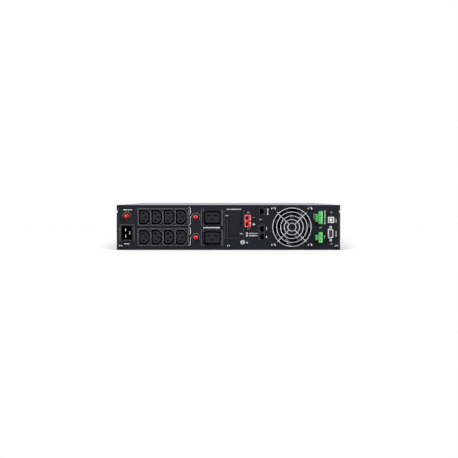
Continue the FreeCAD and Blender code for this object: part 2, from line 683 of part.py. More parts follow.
def standoff_centres():
    return [(SERIAL[0], SERIAL[1] + sign * STANDOFF_PITCH / 2) for sign in (-1, 1)]


def serial_standoffs():
    """Hexagonal jack screws."""
    nuts = []
    for centre in standoff_centres():
        turns = [math.radians(60 * i) for i in range(6)]
        corners = [(centre[0] + STANDOFF_RADIUS * math.cos(turn),
                    centre[1] + STANDOFF_RADIUS * math.sin(turn)) for turn in turns]
        post = prism(corners, (PANEL_FACE - 5.0, PANEL_FACE))
        shank = rod(centre, 1.5, (PANEL_FACE, PANEL_FACE + 6))
        nuts.append(union([post, shank]).cut(rod(centre, STANDOFF_BORE, (PANEL_FACE - 7, PANEL_FACE - 0.5))))
    return Part.makeCompound(nuts)


def terminal_outline(name, grow, y):
    """Tall part on the right and short block on the left, moved outward by grow."""
    tall, short = TERMINALS[name]
    right = block((TERMINAL_STEP - 0.01, TERMINAL_RIGHT + grow), y, (tall[0] - grow, tall[1] + grow))
    left = block((TERMINAL_LEFT - grow, TERMINAL_STEP + 1.0), y, (short[0] - grow, short[1] + grow))
    return union([right, left])


def terminal_headers():
    """Fixed halves of the pluggable terminals, open towards the panel."""
    headers = []
    for name in TERMINALS:
        outer = terminal_outline(name, -0.9, (PANEL_FACE + 0.2, PANEL_BACK + 14))
        pocket = terminal_outline(name, -2.0, (PANEL_FACE - 1, PANEL_BACK + TERMINAL_NOSE + 0.6))
        headers.append(outer.cut(pocket))
    return Part.makeCompound(headers)


def terminal_plug(name):
    """Removable half: screw heads face out, a nose goes into the header."""
    tall, short = TERMINALS[name]
    outer = PANEL_FACE - TERMINAL_OUT
    base = PANEL_FACE - GAP
    main = block((TERMINAL_STEP, TERMINAL_RIGHT), (outer, base), tall)
    side = block((TERMINAL_LEFT, TERMINAL_STEP), (outer + 3.0, base), short)
    nose = terminal_outline(name, -2.4, (base, PANEL_BACK + TERMINAL_NOSE))
    plug = union([main, side, nose])
    poles = 5 if name == "upper" else 4
    pitch = (tall[1] - tall[0] - 1.0) / poles
    tools = []
    for index in range(poles):
        centre_z = tall[0] + 0.5 + pitch * (index + 0.5)
        tools.append(rod((TERMINAL_STEP + 1.6, centre_z), 1.3, (outer - 1, outer + 4)))
        tools.append(slab((TERMINAL_RIGHT - 3.1, centre_z), (1.8, pitch - 1.6), (outer - 1, outer + 6)))
    return plug.cut(tools)


# Fan

def fan_corners():
    half = FAN_HOLE_PITCH / 2
    return [(FAN_X + sx * half, FAN_Z + sz * half) for sx in (-1, 1) for sz in (-1, 1)]


def fan_frame():
    """Square frame with a round duct, and a bearing plate on four struts at its inner end."""
    centre = (FAN_X, FAN_Z)
    inner_end = PANEL_BACK + FAN_DEPTH
    frame = rounded(slab(centre, (FAN_SIZE, FAN_SIZE), (PANEL_BACK, inner_end)), 5.0)
    frame = frame.cut(rod(centre, FAN_BORE, (PANEL_BACK - 1, inner_end + 1)))
    struts = []
    for turn in (45, 135, 225, 315):
        strut = slab((FAN_X + 28.0, FAN_Z), (26.0, 3.0), (inner_end - 3, inner_end))
        strut.rotate(FreeCAD.Vector(FAN_X, 0, FAN_Z), Y_AXIS, turn)
        struts.append(strut)
    hub = rod(centre, FAN_HUB + 1, (inner_end - 3, inner_end))
    bearing = rod(centre, SHAFT_RADIUS + 0.05, (inner_end - 4, inner_end + 1))
    return union([frame, hub] + struts).cut([bearing] + [rod(point, 2.1, (PANEL_BACK - 1, inner_end + 1))
                                                         for point in fan_corners()])


def fan_rotor():
    """Hub with pitched blades and its shaft."""
    centre = (FAN_X, FAN_Z)
    y = (PANEL_BACK + 1.5, PANEL_BACK + FAN_DEPTH - 4)
    hub = softened(rod(centre, FAN_HUB, y), 1.5, y[0])
    shaft = rod(centre, SHAFT_RADIUS, (y[1], PANEL_BACK + FAN_DEPTH - 0.5))
    reach = rod(centre, BLADE_TIP, y)
    blades = []
    for index in range(BLADE_COUNT):
        length = BLADE_TIP - FAN_HUB + 4
        plate = Part.makeBox(length, 17.0, 1.4, FreeCAD.Vector(FAN_HUB - 2, -8.5, -0.7))
        plate.rotate(FreeCAD.Vector(0, 0, 0), FreeCAD.Vector(1, 0, 0), 42)
        plate.translate(FreeCAD.Vector(FAN_X, (y[0] + y[1]) / 2, FAN_Z))
        plate.rotate(FreeCAD.Vector(FAN_X, 0, FAN_Z), Y_AXIS, index * 360 / BLADE_COUNT)
        blades.append(plate.common(reach))
    return union([hub, shaft] + blades)


def fan_guard():
    """Rings on four wires that end in an eye round each screw."""
    ring_y = PANEL_FACE - GUARD_OUT
    wire_y = ring_y + 1.7 * GUARD_WIRE
    eye_y = PANEL_FACE - GUARD_WIRE
    corner = FAN_HOLE_PITCH / 2 * math.sqrt(2)
    hub = FreeCAD.Vector(FAN_X, 0, FAN_Z)
    pieces = [Part.makeTorus(radius, GUARD_WIRE, FreeCAD.Vector(FAN_X, ring_y, FAN_Z), Y_AXIS)
              for radius in GUARD_RINGS]
    for turn in (45, 135, 225, 315):
        reaches = ((7.0, wire_y), (corner - GUARD_BEND, wire_y), (corner - GUARD_BEND / 2, eye_y),
                   (corner - GUARD_EYE, eye_y))
        path = [FreeCAD.Vector(FAN_X + reach, y, FAN_Z) for reach, y in reaches]
        spoke = [Part.makeCylinder(GUARD_WIRE, start.distanceToPoint(end), start, end - start)
                 for start, end in zip(path, path[1:])]
        spoke += [Part.makeSphere(GUARD_WIRE, knee) for knee in path[1:3]]
        eye_centre = FreeCAD.Vector(FAN_X + corner, eye_y, FAN_Z)
        spoke.append(Part.makeTorus(GUARD_EYE, GUARD_WIRE, eye_centre, Y_AXIS))
        for piece in spoke:
            piece.rotate(hub, Y_AXIS, turn)
            pieces.append(piece)
    return pieces[0].fuse(pieces[1:])


def fan_screws():
    screws = []
    for point in fan_corners():
        screw = pan_screw(FAN_SCREW_HEAD, 2.3, 1.9, 10.0)
        screw.translate(FreeCAD.Vector(point[0], PANEL_FACE - 2 * GUARD_WIRE, point[1]))
        screws.append(screw)
    return Part.makeCompound(screws)


# Electronics

def power_board():
    return block((-208.0, 5.0), (-268.0, 262.0), (9.0, 10.6))


def board_posts():
    """Spacers under the power board."""
    return Part.makeCompound([Part.makeCylinder(3.0, 9.0 - SHEET, FreeCAD.Vector(px, py, SHEET))
                              for px in (-200.0, -100.0, -3.0) for py in (-260.0, 0.0, 254.0)])


def heat_sinks():
    """Two finned extrusions along the air path."""
    sinks = []
    for left in (-170.0, -70.0):
        spine = block((left, left + 5.0), (-120.0, 90.0), (10.6, 74.0))
        fins = [block((left + 5.0, left + 32.0), (-120.0, 90.0), (13.0 + FIN_PITCH * i, 14.8 + FIN_PITCH * i))
                for i in range(8)]
        sinks.append(union([spine] + fins))
    return Part.makeCompound(sinks)


def capacitors():
    cans = []
    for column in range(4):
        for row in range(3):
            base = FreeCAD.Vector(-120.0 + row * 34.0, 118.0 + column * 34.0, 10.6)
            cans.append(Part.makeCylinder(15.0, 48.0, base))
    return Part.makeCompound(cans)


def inductors():
    """Ring chokes standing on the board."""
    chokes = []
    for px, py in ((-182.0, -185.0), (-110.0, -185.0), (-38.0, -185.0)):
        ring = Part.makeCylinder(28.0, 34.0, FreeCAD.Vector(px, py, 10.6))
        chokes.append(ring.cut(Part.makeCylinder(10.0, 40.0, FreeCAD.Vector(px, py, 8.0))))
    return Part.makeCompound(chokes)


def filter_board():
    """Board that carries the outlets' wiring."""
    return block((-182.0, -74.0), (PANEL_FACE + 28, PANEL_FACE + 29.6), (14.0, 82.0))


def comm_board():
    """Board behind the signal ports."""
    return block((166.0, 212.0), (PANEL_FACE + 20, PANEL_FACE + 21.6), (8.0, 80.0))


# Battery drawer

def battery_tray():
    """Open sheet tray with a front plate that closes the bay."""
    outer = block((TRAY_LEFT, TRAY_RIGHT), (TRAY_BACK, TRAY_FRONT), (TRAY_LOW, TRAY_HIGH))
    inner = block((TRAY_LEFT + SHEET, TRAY_RIGHT - SHEET), (TRAY_BACK + SHEET, TRAY_FRONT - SHEET),
                  (TRAY_LOW + SHEET, TRAY_HIGH + 1))
    neck = block((TRAY_LEFT + 4, TRAY_RIGHT - 4), (TRAY_FRONT, BEZEL_BACK), (TRAY_LOW + 3, TRAY_HIGH - 3))
    plate = block((TRAY_LEFT - 5, TRAY_RIGHT + 5), (SHELL_FRONT + GAP, BEZEL_BACK), (2.4, 84.0))
    return union([outer.cut(inner), neck, plate])


def battery_blocks():
    """Six sealed blocks on their sides, each with two terminals' caps."""
    blocks = []
    for column in range(2):
        for row in range(3):
            left = TRAY_LEFT + SHEET + 1.5 + column * (CELL[0] + CELL_GAP)
            back = TRAY_BACK + SHEET + 0.4 + row * (CELL[1] + CELL_GAP)
            low = TRAY_LOW + SHEET + 0.2
            blocks.append(block((left, left + CELL[0]), (back, back + CELL[1]), (low, low + CELL[2])))
    return Part.makeCompound(blocks)


def battery_lead_plug():
    """Connector at the back of the tray."""
    return block((100.0, 128.0), (TRAY_BACK - 22.0, TRAY_BACK), (30.0, 48.0))


# Front

def bezel_shell(left, right):
    """Hollow moulding, open at its back, with rounded front edges."""
    outer = block((left, right), (BEZEL_BACK, FRONT), (0.4, BEZEL_TOP))
    outer = softened(rounded(outer, 1.5), 1.2, FRONT)
    inner = block((left + BEZEL_WALL, right - BEZEL_WALL), (BEZEL_BACK - 1, FRONT - BEZEL_WALL),
                  (0.4 + BEZEL_WALL, BEZEL_TOP - BEZEL_WALL))
    return outer.cut(inner)


def louvres(left, right):
    """Tools for a row of upright air slots."""
    count = int((right - left) / LOUVRE_PITCH)
    tools = []
    for index in range(count):
        centre = (left + (index + 0.5) * LOUVRE_PITCH, (LOUVRE_LOW + LOUVRE_HIGH) / 2)
        tools.append(slab(centre, (LOUVRE_WIDTH, LOUVRE_HIGH - LOUVRE_LOW), (FRONT - 6, FRONT + 2)))
    return tools


def front_bezel():
    """Control side of the front: louvres and the seat of the display."""
    shell = bezel_shell(-SIDE, BEZEL_SPLIT - GAP)
    seat_y = (FRONT - DISPLAY_THICK - 5.0, FRONT - DISPLAY_THICK - 2.0)
    seat = block((-SIDE + 1, DISPLAY_X + DISPLAY_RADIUS + 4), seat_y, (1.0, HEIGHT - 1))
    centre = (DISPLAY_X, DISPLAY_Z)
    tools = louvres(DISPLAY_X + DISPLAY_RADIUS + 9, BEZEL_SPLIT - 6)
    tools.append(rod(centre, DISPLAY_RADIUS + 0.5, (FRONT - 4, FRONT + 2)))
    tools.append(rod(centre, JOURNAL_RADIUS + 0.06, (BEZEL_BACK, FRONT)))
    return union([shell, seat]).cut(tools)


def battery_bezel():
    """Battery side of the front, with a recess to pull the drawer by."""
    shell = bezel_shell(BEZEL_SPLIT + GAP, SIDE)
    z = (PULL_LOW, PULL_HIGH)
    cup = block((PULL_LEFT - 2, PULL_RIGHT + 2), (FRONT - PULL_DEPTH - 2, FRONT - 1), (z[0] - 2, z[1] + 2))
    hollow = block((PULL_LEFT, PULL_RIGHT), (FRONT - PULL_DEPTH, FRONT + 2), z)
    tools = louvres(BEZEL_SPLIT + 8, PULL_LEFT - 8) + louvres(PULL_RIGHT + 8, SIDE - 9)
    upper = louvres(PULL_LEFT - 5, PULL_RIGHT + 5)
    above = block((PULL_LEFT - 10, PULL_RIGHT + 10), (FRONT - 8, FRONT + 3), (PULL_HIGH + 8, HEIGHT))
    tools += [slot.common(above) for slot in upper]
    tools.append(rounded(hollow, 3.0))
    return union([shell, cup]).cut(tools)


def display_housing():
    """Round module that turns in the bezel so the screen reads upright either way."""
    centre = (DISPLAY_X, DISPLAY_Z)
    face = FRONT + DISPLAY_PROUD
    back = FRONT - DISPLAY_THICK
    disc = softened(rod(centre, DISPLAY_RADIUS, (back, face)), 1.0, face)
    journal = rod(centre, JOURNAL_RADIUS, (back - 6.0, back))
    tools = [slab((DISPLAY_X, DISPLAY_Z + WINDOW_RISE), WINDOW, (face - 2.0, face + 1))]
    for offset in KEYS.values():
        key_centre = (DISPLAY_X + offset, DISPLAY_Z - KEY_DROP)
        tools.append(rod(key_centre, KEY_RADIUS + 0.35, (face - 5.0, face + 1)))
    return union([disc, journal]).cut(tools)


def display_window():
    face = FRONT + DISPLAY_PROUD
    size = (WINDOW[0] - 0.4, WINDOW[1] - 0.4)
    return slab((DISPLAY_X, DISPLAY_Z + WINDOW_RISE), size, (face - 2.0, face - 0.3))


def display_key(name):
    """Push key that sits in its pocket with room to go in."""
    face = FRONT + DISPLAY_PROUD
    centre = (DISPLAY_X + KEYS[name], DISPLAY_Z - KEY_DROP)
    return softened(rod(centre, KEY_RADIUS, (face - 3.2, face + 1.0)), 0.7, face + 1.0)


def build():
    """Every node by name."""
    nodes = {
        "chassis_base": chassis_base(),
        "top_cover": top_cover(),
        "cover_screws": cover_screws(),
        "rack_ear_left": rack_ear(-1),
        "rack_ear_right": rack_ear(1),
        "ear_screws": ear_screws(),
        "front_frame": front_frame(),
        "bay_wall": bay_wall(),
        "tray_guides": tray_guides(),
        "rear_panel": rear_panel(),
        "rear_panel_screws": rear_panel_screws(),
        "port_screws": port_screws(),
        "inlet_housing": inlet_housing(),
        "inlet_pins": inlet_pins(),
        "outlet_cores": outlet_cores(),
        "large_outlet_housings": large_outlet_housings(),
        "large_outlet_cores": large_outlet_cores(),
        "breaker_bodies": breaker_bodies(),
        "breaker_nuts": breaker_nuts(),
        "slot_cover": slot_cover(),
        "slot_cover_screws": slot_cover_screws(),
        "battery_port_housing": battery_port_housing(),
        "battery_port_contacts": battery_port_contacts(),
        "battery_port_screws": battery_port_screws(),
        "ground_screw": ground_screw(),
        "emergency_jack": emergency_jack(),
        "network_jacks": network_jacks(),
        "usb_port": usb_port(),
        "serial_port": serial_port(),
        "serial_standoffs": serial_standoffs(),
        "terminal_headers": terminal_headers(),
        "fan_frame": fan_frame(),
        "fan_rotor": fan_rotor(),
        "fan_guard": fan_guard(),
        "fan_screws": fan_screws(),
        "power_board": power_board(),
        "board_posts": board_posts(),
        "heat_sinks": heat_sinks(),
        "capacitors": capacitors(),
        "inductors": inductors(),
        "filter_board": filter_board(),
        "comm_board": comm_board(),
        "battery_tray": battery_tray(),
        "battery_blocks": battery_blocks(),
        "battery_lead_plug": battery_lead_plug(),
        "front_bezel": front_bezel(),
        "battery_bezel": battery_bezel(),
        "display_housing": display_housing(),
        "display_window": display_window(),
    }
    for bank, centre_z in BANK_Z.items():
        nodes[f"outlet_bank_{bank}"] = outlet_bank(centre_z)
    for name in BREAKERS:
        nodes[f"breaker_button_{name}"] = breaker_button(name)
    for name in TERMINALS:
        nodes[f"terminal_plug_{name}"] = terminal_plug(name)
    for name in KEYS:
        nodes[f"{name}_key"] = display_key(name)
    return nodes


def main():
    os.makedirs("parts", exist_ok=True)
    for name, shape in build().items():
        if not shape.isValid():
            raise ValueError(f"{name} is not a valid shape")
        shape.exportStep(f"parts/{name}.step")
        print(f"{name}: {len(shape.Solids)} solids, {shape.Volume / 1000:.1f} cm3")


main()
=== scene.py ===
"""Rack power supply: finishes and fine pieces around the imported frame. All lengths are metres."""
import math
import random

import bmesh
import bpy
from mathutils import Matrix, Vector


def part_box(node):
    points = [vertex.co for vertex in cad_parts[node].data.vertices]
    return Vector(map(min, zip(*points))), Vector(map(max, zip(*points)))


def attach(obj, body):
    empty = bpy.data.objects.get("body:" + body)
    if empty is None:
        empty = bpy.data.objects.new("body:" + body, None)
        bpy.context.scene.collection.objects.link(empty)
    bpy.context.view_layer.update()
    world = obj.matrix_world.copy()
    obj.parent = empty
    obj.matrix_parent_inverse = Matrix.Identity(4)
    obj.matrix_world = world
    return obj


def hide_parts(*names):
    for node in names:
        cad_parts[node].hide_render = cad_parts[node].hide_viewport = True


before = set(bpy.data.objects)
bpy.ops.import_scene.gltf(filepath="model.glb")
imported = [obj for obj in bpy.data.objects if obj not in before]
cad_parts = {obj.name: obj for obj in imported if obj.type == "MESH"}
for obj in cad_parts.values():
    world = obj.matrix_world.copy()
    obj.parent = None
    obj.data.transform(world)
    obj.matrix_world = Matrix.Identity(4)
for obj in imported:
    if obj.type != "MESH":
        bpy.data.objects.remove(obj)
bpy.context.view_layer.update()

bl_info = {
    "name": "Rack power supply",
    "version": (1, 0, 0),
    "blender": (4, 5, 0),
    "location": "3D View > Sidebar > Power supply",
    "description": "Finishes and fine pieces for a two-unit rack power supply",
    "category": "Object",
}

MM = 0.001
PANEL_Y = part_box("rear_panel")[0][1]
FRONT_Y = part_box("front_bezel")[1][1]
RESTING_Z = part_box("chassis_base")[0][2]


# Settings

class FinishSettings(bpy.types.PropertyGroup):
    """Colours of the paints, plastics and metals."""
    case: bpy.props.FloatVectorProperty(
        name="Case paint", description="Powder coat of the case and the ears", subtype="COLOR",
        size=3, min=0, max=1, default=(0.002, 0.002, 0.003))
    panel: bpy.props.FloatVectorProperty(
        name="Panel paint", description="Powder coat of the connection panel", subtype="COLOR",
        size=3, min=0, max=1, default=(0.0145, 0.0145, 0.0205))
    housing: bpy.props.FloatVectorProperty(
        name="Outlet housing", description="Plastic of the outlet and inlet housings", subtype="COLOR",
        size=3, min=0, max=1, default=(0.0160, 0.0160, 0.0220))
    core: bpy.props.FloatVectorProperty(
        name="Outlet core", description="Plastic of the outlet cores", subtype="COLOR",
        size=3, min=0, max=1, default=(0.020, 0.020, 0.027))
    bezel: bpy.props.FloatVectorProperty(
        name="Bezel", description="Plastic of the front bezel", subtype="COLOR",
        size=3, min=0, max=1, default=(0.014, 0.014, 0.016))
    button: bpy.props.FloatVectorProperty(
        name="Breaker button", description="Gloss plastic of the reset buttons", subtype="COLOR",
        size=3, min=0, max=1, default=(0.58, 0.016, 0.022))
    battery_port: bpy.props.FloatVectorProperty(
        name="Battery connector", description="Plastic of the battery connector", subtype="COLOR",
        size=3, min=0, max=1, default=(0.50, 0.040, 0.050))
    terminal: bpy.props.FloatVectorProperty(
        name="Terminal", description="Plastic of the pluggable terminals", subtype="COLOR",
        size=3, min=0, max=1, default=(0.060, 0.36, 0.080))
    ink: bpy.props.FloatVectorProperty(
        name="Printing ink", description="Ink of the marks on the panel", subtype="COLOR",
        size=3, min=0, max=1, default=(0.88, 0.88, 0.88))
    accent: bpy.props.FloatVectorProperty(
        name="Display light", description="Light of the display", subtype="COLOR",
        size=3, min=0, max=1, default=(0.25, 0.55, 1.0))


class DetailSettings(bpy.types.PropertyGroup):
    """Sizes of the fine pieces."""
    wire: bpy.props.FloatProperty(
        name="Guard wire", description="Thickness of the fan guard's wire", unit="LENGTH", default=1.25 * MM)
    blades: bpy.props.IntProperty(name="Fan blades", description="Number of fan blades", default=7, min=3)
    ink_height: bpy.props.FloatProperty(
        name="Ink height", description="Thickness of the printed marks", unit="LENGTH", default=0.12 * MM)
    camera_distance: bpy.props.FloatProperty(
        name="Camera distance", description="From the lens to the connection panel", unit="LENGTH", default=2.0)
    camera_height: bpy.props.FloatProperty(
        name="Camera height", description="Above the floor", unit="LENGTH", default=0.1055)
    camera_pitch: bpy.props.FloatProperty(
        name="Camera pitch", description="How far the lens looks down", subtype="ANGLE",
        default=math.radians(1.85))
    lens: bpy.props.FloatProperty(name="Lens", description="Focal length in millimetres", default=80.2)


# Shader recipes

class Wire:
    """A shader value or colour. Sums and products of values add Math nodes."""

    def __init__(self, graph, socket):
        self.graph = graph
        self.socket = socket

    def math(self, operation, first, second):
        return self.graph.node("ShaderNodeMath", {"operation": operation}, {0: first, 1: second})

    def __add__(self, other):
        return self.math("ADD", self, other)

    __radd__ = __add__

    def __sub__(self, other):
        return self.math("SUBTRACT", self, other)

    def __rsub__(self, other):
        return self.math("SUBTRACT", other, self)

    def __mul__(self, other):
        return self.math("MULTIPLY", self, other)

    __rmul__ = __mul__

    def __lt__(self, other):
        return self.math("LESS_THAN", self, other)


class Graph:
    """Nodes of a material or of the world."""

    def __init__(self, tree):
        self.tree = tree

    def node(self, kind, settings=None, sockets=None, output=0):
        made = self.tree.nodes.new(kind)
        for key, value in (settings or {}).items():
            if key == "stops":
                for element, (place, colour) in zip(made.color_ramp.elements, value):
                    element.position = place
                    element.color = (*colour, 1)
            else:
                setattr(made, key, value)
        for key, value in (sockets or {}).items():
            self.feed(made.inputs[key], value)
        return Wire(self, made.outputs[output])

    def feed(self, socket, value):
        if isinstance(value, Wire):
            self.tree.links.new(value.socket, socket)
        elif socket.type == "RGBA":
            socket.default_value = (*value[:3], 1)
        else:
            socket.default_value = value

    def blend(self, factor, first, second):
        return self.node("ShaderNodeMix", {"data_type": "RGBA"}, {0: factor, 6: first, 7: second}, output=2)

    def spread(self, value, low, high):
        """value from low..high mapped to 0..1 and held there."""
        return self.node("ShaderNodeMapRange", {"clamp": True}, {0: value, 1: low, 2: high})

    def split(self, vector, index):
        """One part of a vector: 0, 1 or 2 for x, y or z."""
        parts = self.tree.nodes.new("ShaderNodeSeparateXYZ")
        self.feed(parts.inputs[0], vector)
        return Wire(self, parts.outputs[index])


class Recipe(Graph):
    """One procedural material."""

    def __init__(self, name):
        self.material = bpy.data.materials.new(name)
        self.material.use_nodes = True
        super().__init__(self.material.node_tree)
        self.shader = self.tree.nodes["Principled BSDF"]

    def place(self, stretch=(1, 1, 1)):
        """Position on the object in metres, stretched along each axis."""
        raw = self.node("ShaderNodeTexCoord", output="Object")
        return self.node("ShaderNodeVectorMath", {"operation": "MULTIPLY"}, {0: raw, 1: stretch})

    def noise(self, scale, detail=3.0, stretch=(1, 1, 1)):
        return self.node("ShaderNodeTexNoise", {}, {"Vector": self.place(stretch), "Scale": scale, "Detail": detail})

    def cells(self, scale, stretch=(1, 1, 1), output="Distance"):
        return self.node("ShaderNodeTexVoronoi", {}, {"Vector": self.place(stretch), "Scale": scale}, output)

    def upward(self):
        """1 where the surface faces up, 0 where it doesn't."""
        return self.spread(self.split(self.node("ShaderNodeNewGeometry", output="Normal"), 2), 0.6, 1.0)

    def painted_depth_shade(self, base, depth):
        """Painted shade: turns base black further in than depth behind the panel's face, where no light gets."""
        inside = self.spread(self.split(self.place(), 1), PANEL_Y + depth - 1.0 * MM, PANEL_Y + depth)
        return self.blend(inside, base, (0.001, 0.001, 0.001))

    def bump(self, height, strength, distance):
        return self.node("ShaderNodeBump", {}, {"Height": height, "Strength": strength, "Distance": distance})

    def finish(self, **sockets):
        for key, value in sockets.items():
            self.feed(self.shader.inputs[key.replace("_", " ")], value)
        return self.material


def scaled(colour, factor):
    return tuple(min(1.0, channel * factor) for channel in colour)


def powder_coat(name, colour, rough=0.42, level=0.25):
    """Sprayed and baked paint: orange peel, faint handling marks and a little dust on top."""
    r = Recipe(name)
    peel = r.noise(900, 2.0)
    fine = r.noise(4200, 2.0)
    cloud = r.noise(14, 4.0)
    rubbed = r.spread(r.noise(36, 5.0, (1, 0.12, 2.6)), 0.52, 0.72)
    dust = r.upward() * r.spread(r.noise(130, 6.0), 0.45, 0.8)
    base = r.blend(cloud, scaled(colour, 0.82), scaled(colour, 1.22))
    base = r.blend(dust * 0.012, base, (0.30, 0.29, 0.27))
    return r.finish(Base_Color=base, Roughness=rough + peel * 0.08 - rubbed * 0.03 + dust * 0.04,
                    Specular_IOR_Level=level, Normal=r.bump(peel * 0.7 + fine * 0.3, 0.10, 0.00025))


def moulded(name, colour, rough=0.45, grain=2600, relief=0.12, level=0.3, socket=None):
    """Injection-moulded plastic with a spark-eroded texture. With a socket depth, it gets painted shade beyond that
    depth.
    """
    r = Recipe(name)
    texture = r.noise(grain, 3.0)
    cloud = r.noise(60, 3.0)
    flow = r.spread(r.noise(22, 4.0, (1, 1, 0.3)), 0.45, 0.7)
    base = r.blend(cloud, scaled(colour, 0.85), scaled(colour, 1.18))
    base = r.blend(flow * 0.25, base, scaled(colour, 1.35))
    if socket is not None:
        base = r.painted_depth_shade(base, socket)
    return r.finish(Base_Color=base, Roughness=rough + texture * 0.12 - 0.06, Specular_IOR_Level=level,
                    Normal=r.bump(texture, relief, 0.00015))


def gloss_moulded(name, colour, rough=0.2, coat=0.3):
    """Polished plastic with hairline scuffs."""
    r = Recipe(name)
    scuff = r.spread(r.noise(420, 5.0, (1, 1, 5)), 0.55, 0.75)
    cloud = r.noise(180, 2.0)
    base = r.blend(cloud, scaled(colour, 0.86), scaled(colour, 1.12))
    return r.finish(Base_Color=base, Roughness=rough + scuff * 0.18, Coat_Weight=coat, Coat_Roughness=0.12,
                    Normal=r.bump(r.noise(700, 2.0), 0.04, 0.0002))


def plated(name, colour, rough=0.22, brushed=(1, 1, 1), metal=1.0, depth=None):
    """Plated or brushed metal. Satin plating scatters, so it counts as partly metallic. With a depth, a contact in a
    socket gets painted shade beyond it."""
    r = Recipe(name)
    lines = r.noise(900, 5.0, brushed)
    tarnish = r.spread(r.noise(120, 5.0), 0.5, 0.85)
    base = r.blend(tarnish, colour, scaled(colour, 0.72))
    if depth is not None:
        base = r.painted_depth_shade(base, depth)
    return r.finish(Base_Color=base, Metallic=metal, Roughness=rough + lines * 0.16 + tarnish * 0.12 - 0.06,
                    Normal=r.bump(lines, 0.06, 0.0001))


def zinc_sheet(name):
    """Galvanised sheet with its spangle."""
    r = Recipe(name)
    spangle = r.cells(95, output="Color")
    tone = r.node("ShaderNodeRGBToBW", {}, {0: spangle})
    base = r.blend(tone, (0.42, 0.43, 0.45), (0.62, 0.63, 0.65))
    return r.finish(Base_Color=base, Metallic=1.0, Roughness=0.30 + tone * 0.18 + r.noise(600, 3.0) * 0.06,
                    Normal=r.bump(r.noise(300, 3.0), 0.05, 0.0002))


def printing_ink(name, colour):
    """Screen-printed ink, a little uneven."""
    r = Recipe(name)
    thin = r.spread(r.noise(2400, 4.0), 0.35, 0.7)
    base = r.blend(thin, scaled(colour, 0.82), colour)
    return r.finish(Base_Color=base, Roughness=0.52 + thin * 0.1, Normal=r.bump(thin, 0.05, 0.00005))


def circuit_board(name):
    """Solder mask over a pattern of tracks."""
    r = Recipe(name)
    tracks = r.spread(r.node("ShaderNodeTexBrick", {}, {
        "Vector": r.place(), "Scale": 90.0, "Mortar Size": 0.04, "Color1": (0, 0, 0), "Color2": (0, 0, 0),
        "Mortar": (1, 1, 1)}), 0.2, 0.8)
    pads = r.cells(260) < 0.16
    base = r.blend(tracks, (0.010, 0.090, 0.035), (0.030, 0.200, 0.080))
    base = r.blend(pads, base, (0.55, 0.50, 0.38))
    return r.finish(Base_Color=base, Metallic=pads * 0.9, Roughness=0.30 + r.noise(500, 3.0) * 0.15,
                    Normal=r.bump(tracks + pads, 0.2, 0.00005))


def wound_copper(name):
    """Enamelled wire laid side by side."""
    r = Recipe(name)
    turns = r.node("ShaderNodeTexWave", {"wave_type": "BANDS", "bands_direction": "DIAGONAL"},
                   {"Vector": r.place(), "Scale": 190.0, "Distortion": 0.4})
    base = r.blend(turns, (0.16, 0.05, 0.02), (0.62, 0.27, 0.12))
    return r.finish(Base_Color=base, Metallic=0.85, Roughness=0.28 + r.noise(300, 2.0) * 0.12,
                    Normal=r.bump(turns, 0.6, 0.0006))


def foam(name):
    """Open-cell dust filter."""
    r = Recipe(name)
    cell = r.cells(620)
    base = r.blend(r.spread(cell, 0.1, 0.6), (0.002, 0.002, 0.002), (0.035, 0.035, 0.036))
    return r.finish(Base_Color=base, Roughness=0.95, Specular_IOR_Level=0.1, Normal=r.bump(cell, 0.8, 0.0008))


def smoked_glass(name):
    r = Recipe(name)
    smear = r.spread(r.noise(60, 4.0), 0.5, 0.8)
    return r.finish(Base_Color=(0.02, 0.024, 0.03), Roughness=0.06 + smear * 0.08, Alpha=0.42,
                    Specular_IOR_Level=0.6)


def lit_screen(name, colour):
    """Back-lit liquid crystal, its glow varying from cell to cell."""
    r = Recipe(name)
    grid = r.cells(900)
    glow = r.blend(r.spread(grid, 0.0, 0.7), scaled(colour, 0.10), scaled(colour, 0.16))
    return r.finish(Base_Color=scaled(colour, 0.12), Emission_Color=glow, Emission_Strength=1.0,
                    Roughness=0.35 + grid * 0.1)


def lamp(name, colour, strength):
    r = Recipe(name)
    glow = r.blend(r.noise(400, 2.0), scaled(colour, 0.75), colour)
    return r.finish(Base_Color=scaled(colour, 0.5), Emission_Color=glow, Emission_Strength=strength,
                    Roughness=0.3)


def shared(name, recipe, *values, **options):
    """The finish of that name, made on first use. The frame's own materials have other names."""
    label = f"{name}_finish"
    return bpy.data.materials.get(label) or recipe(label, *values, **options)


# Mesh tools

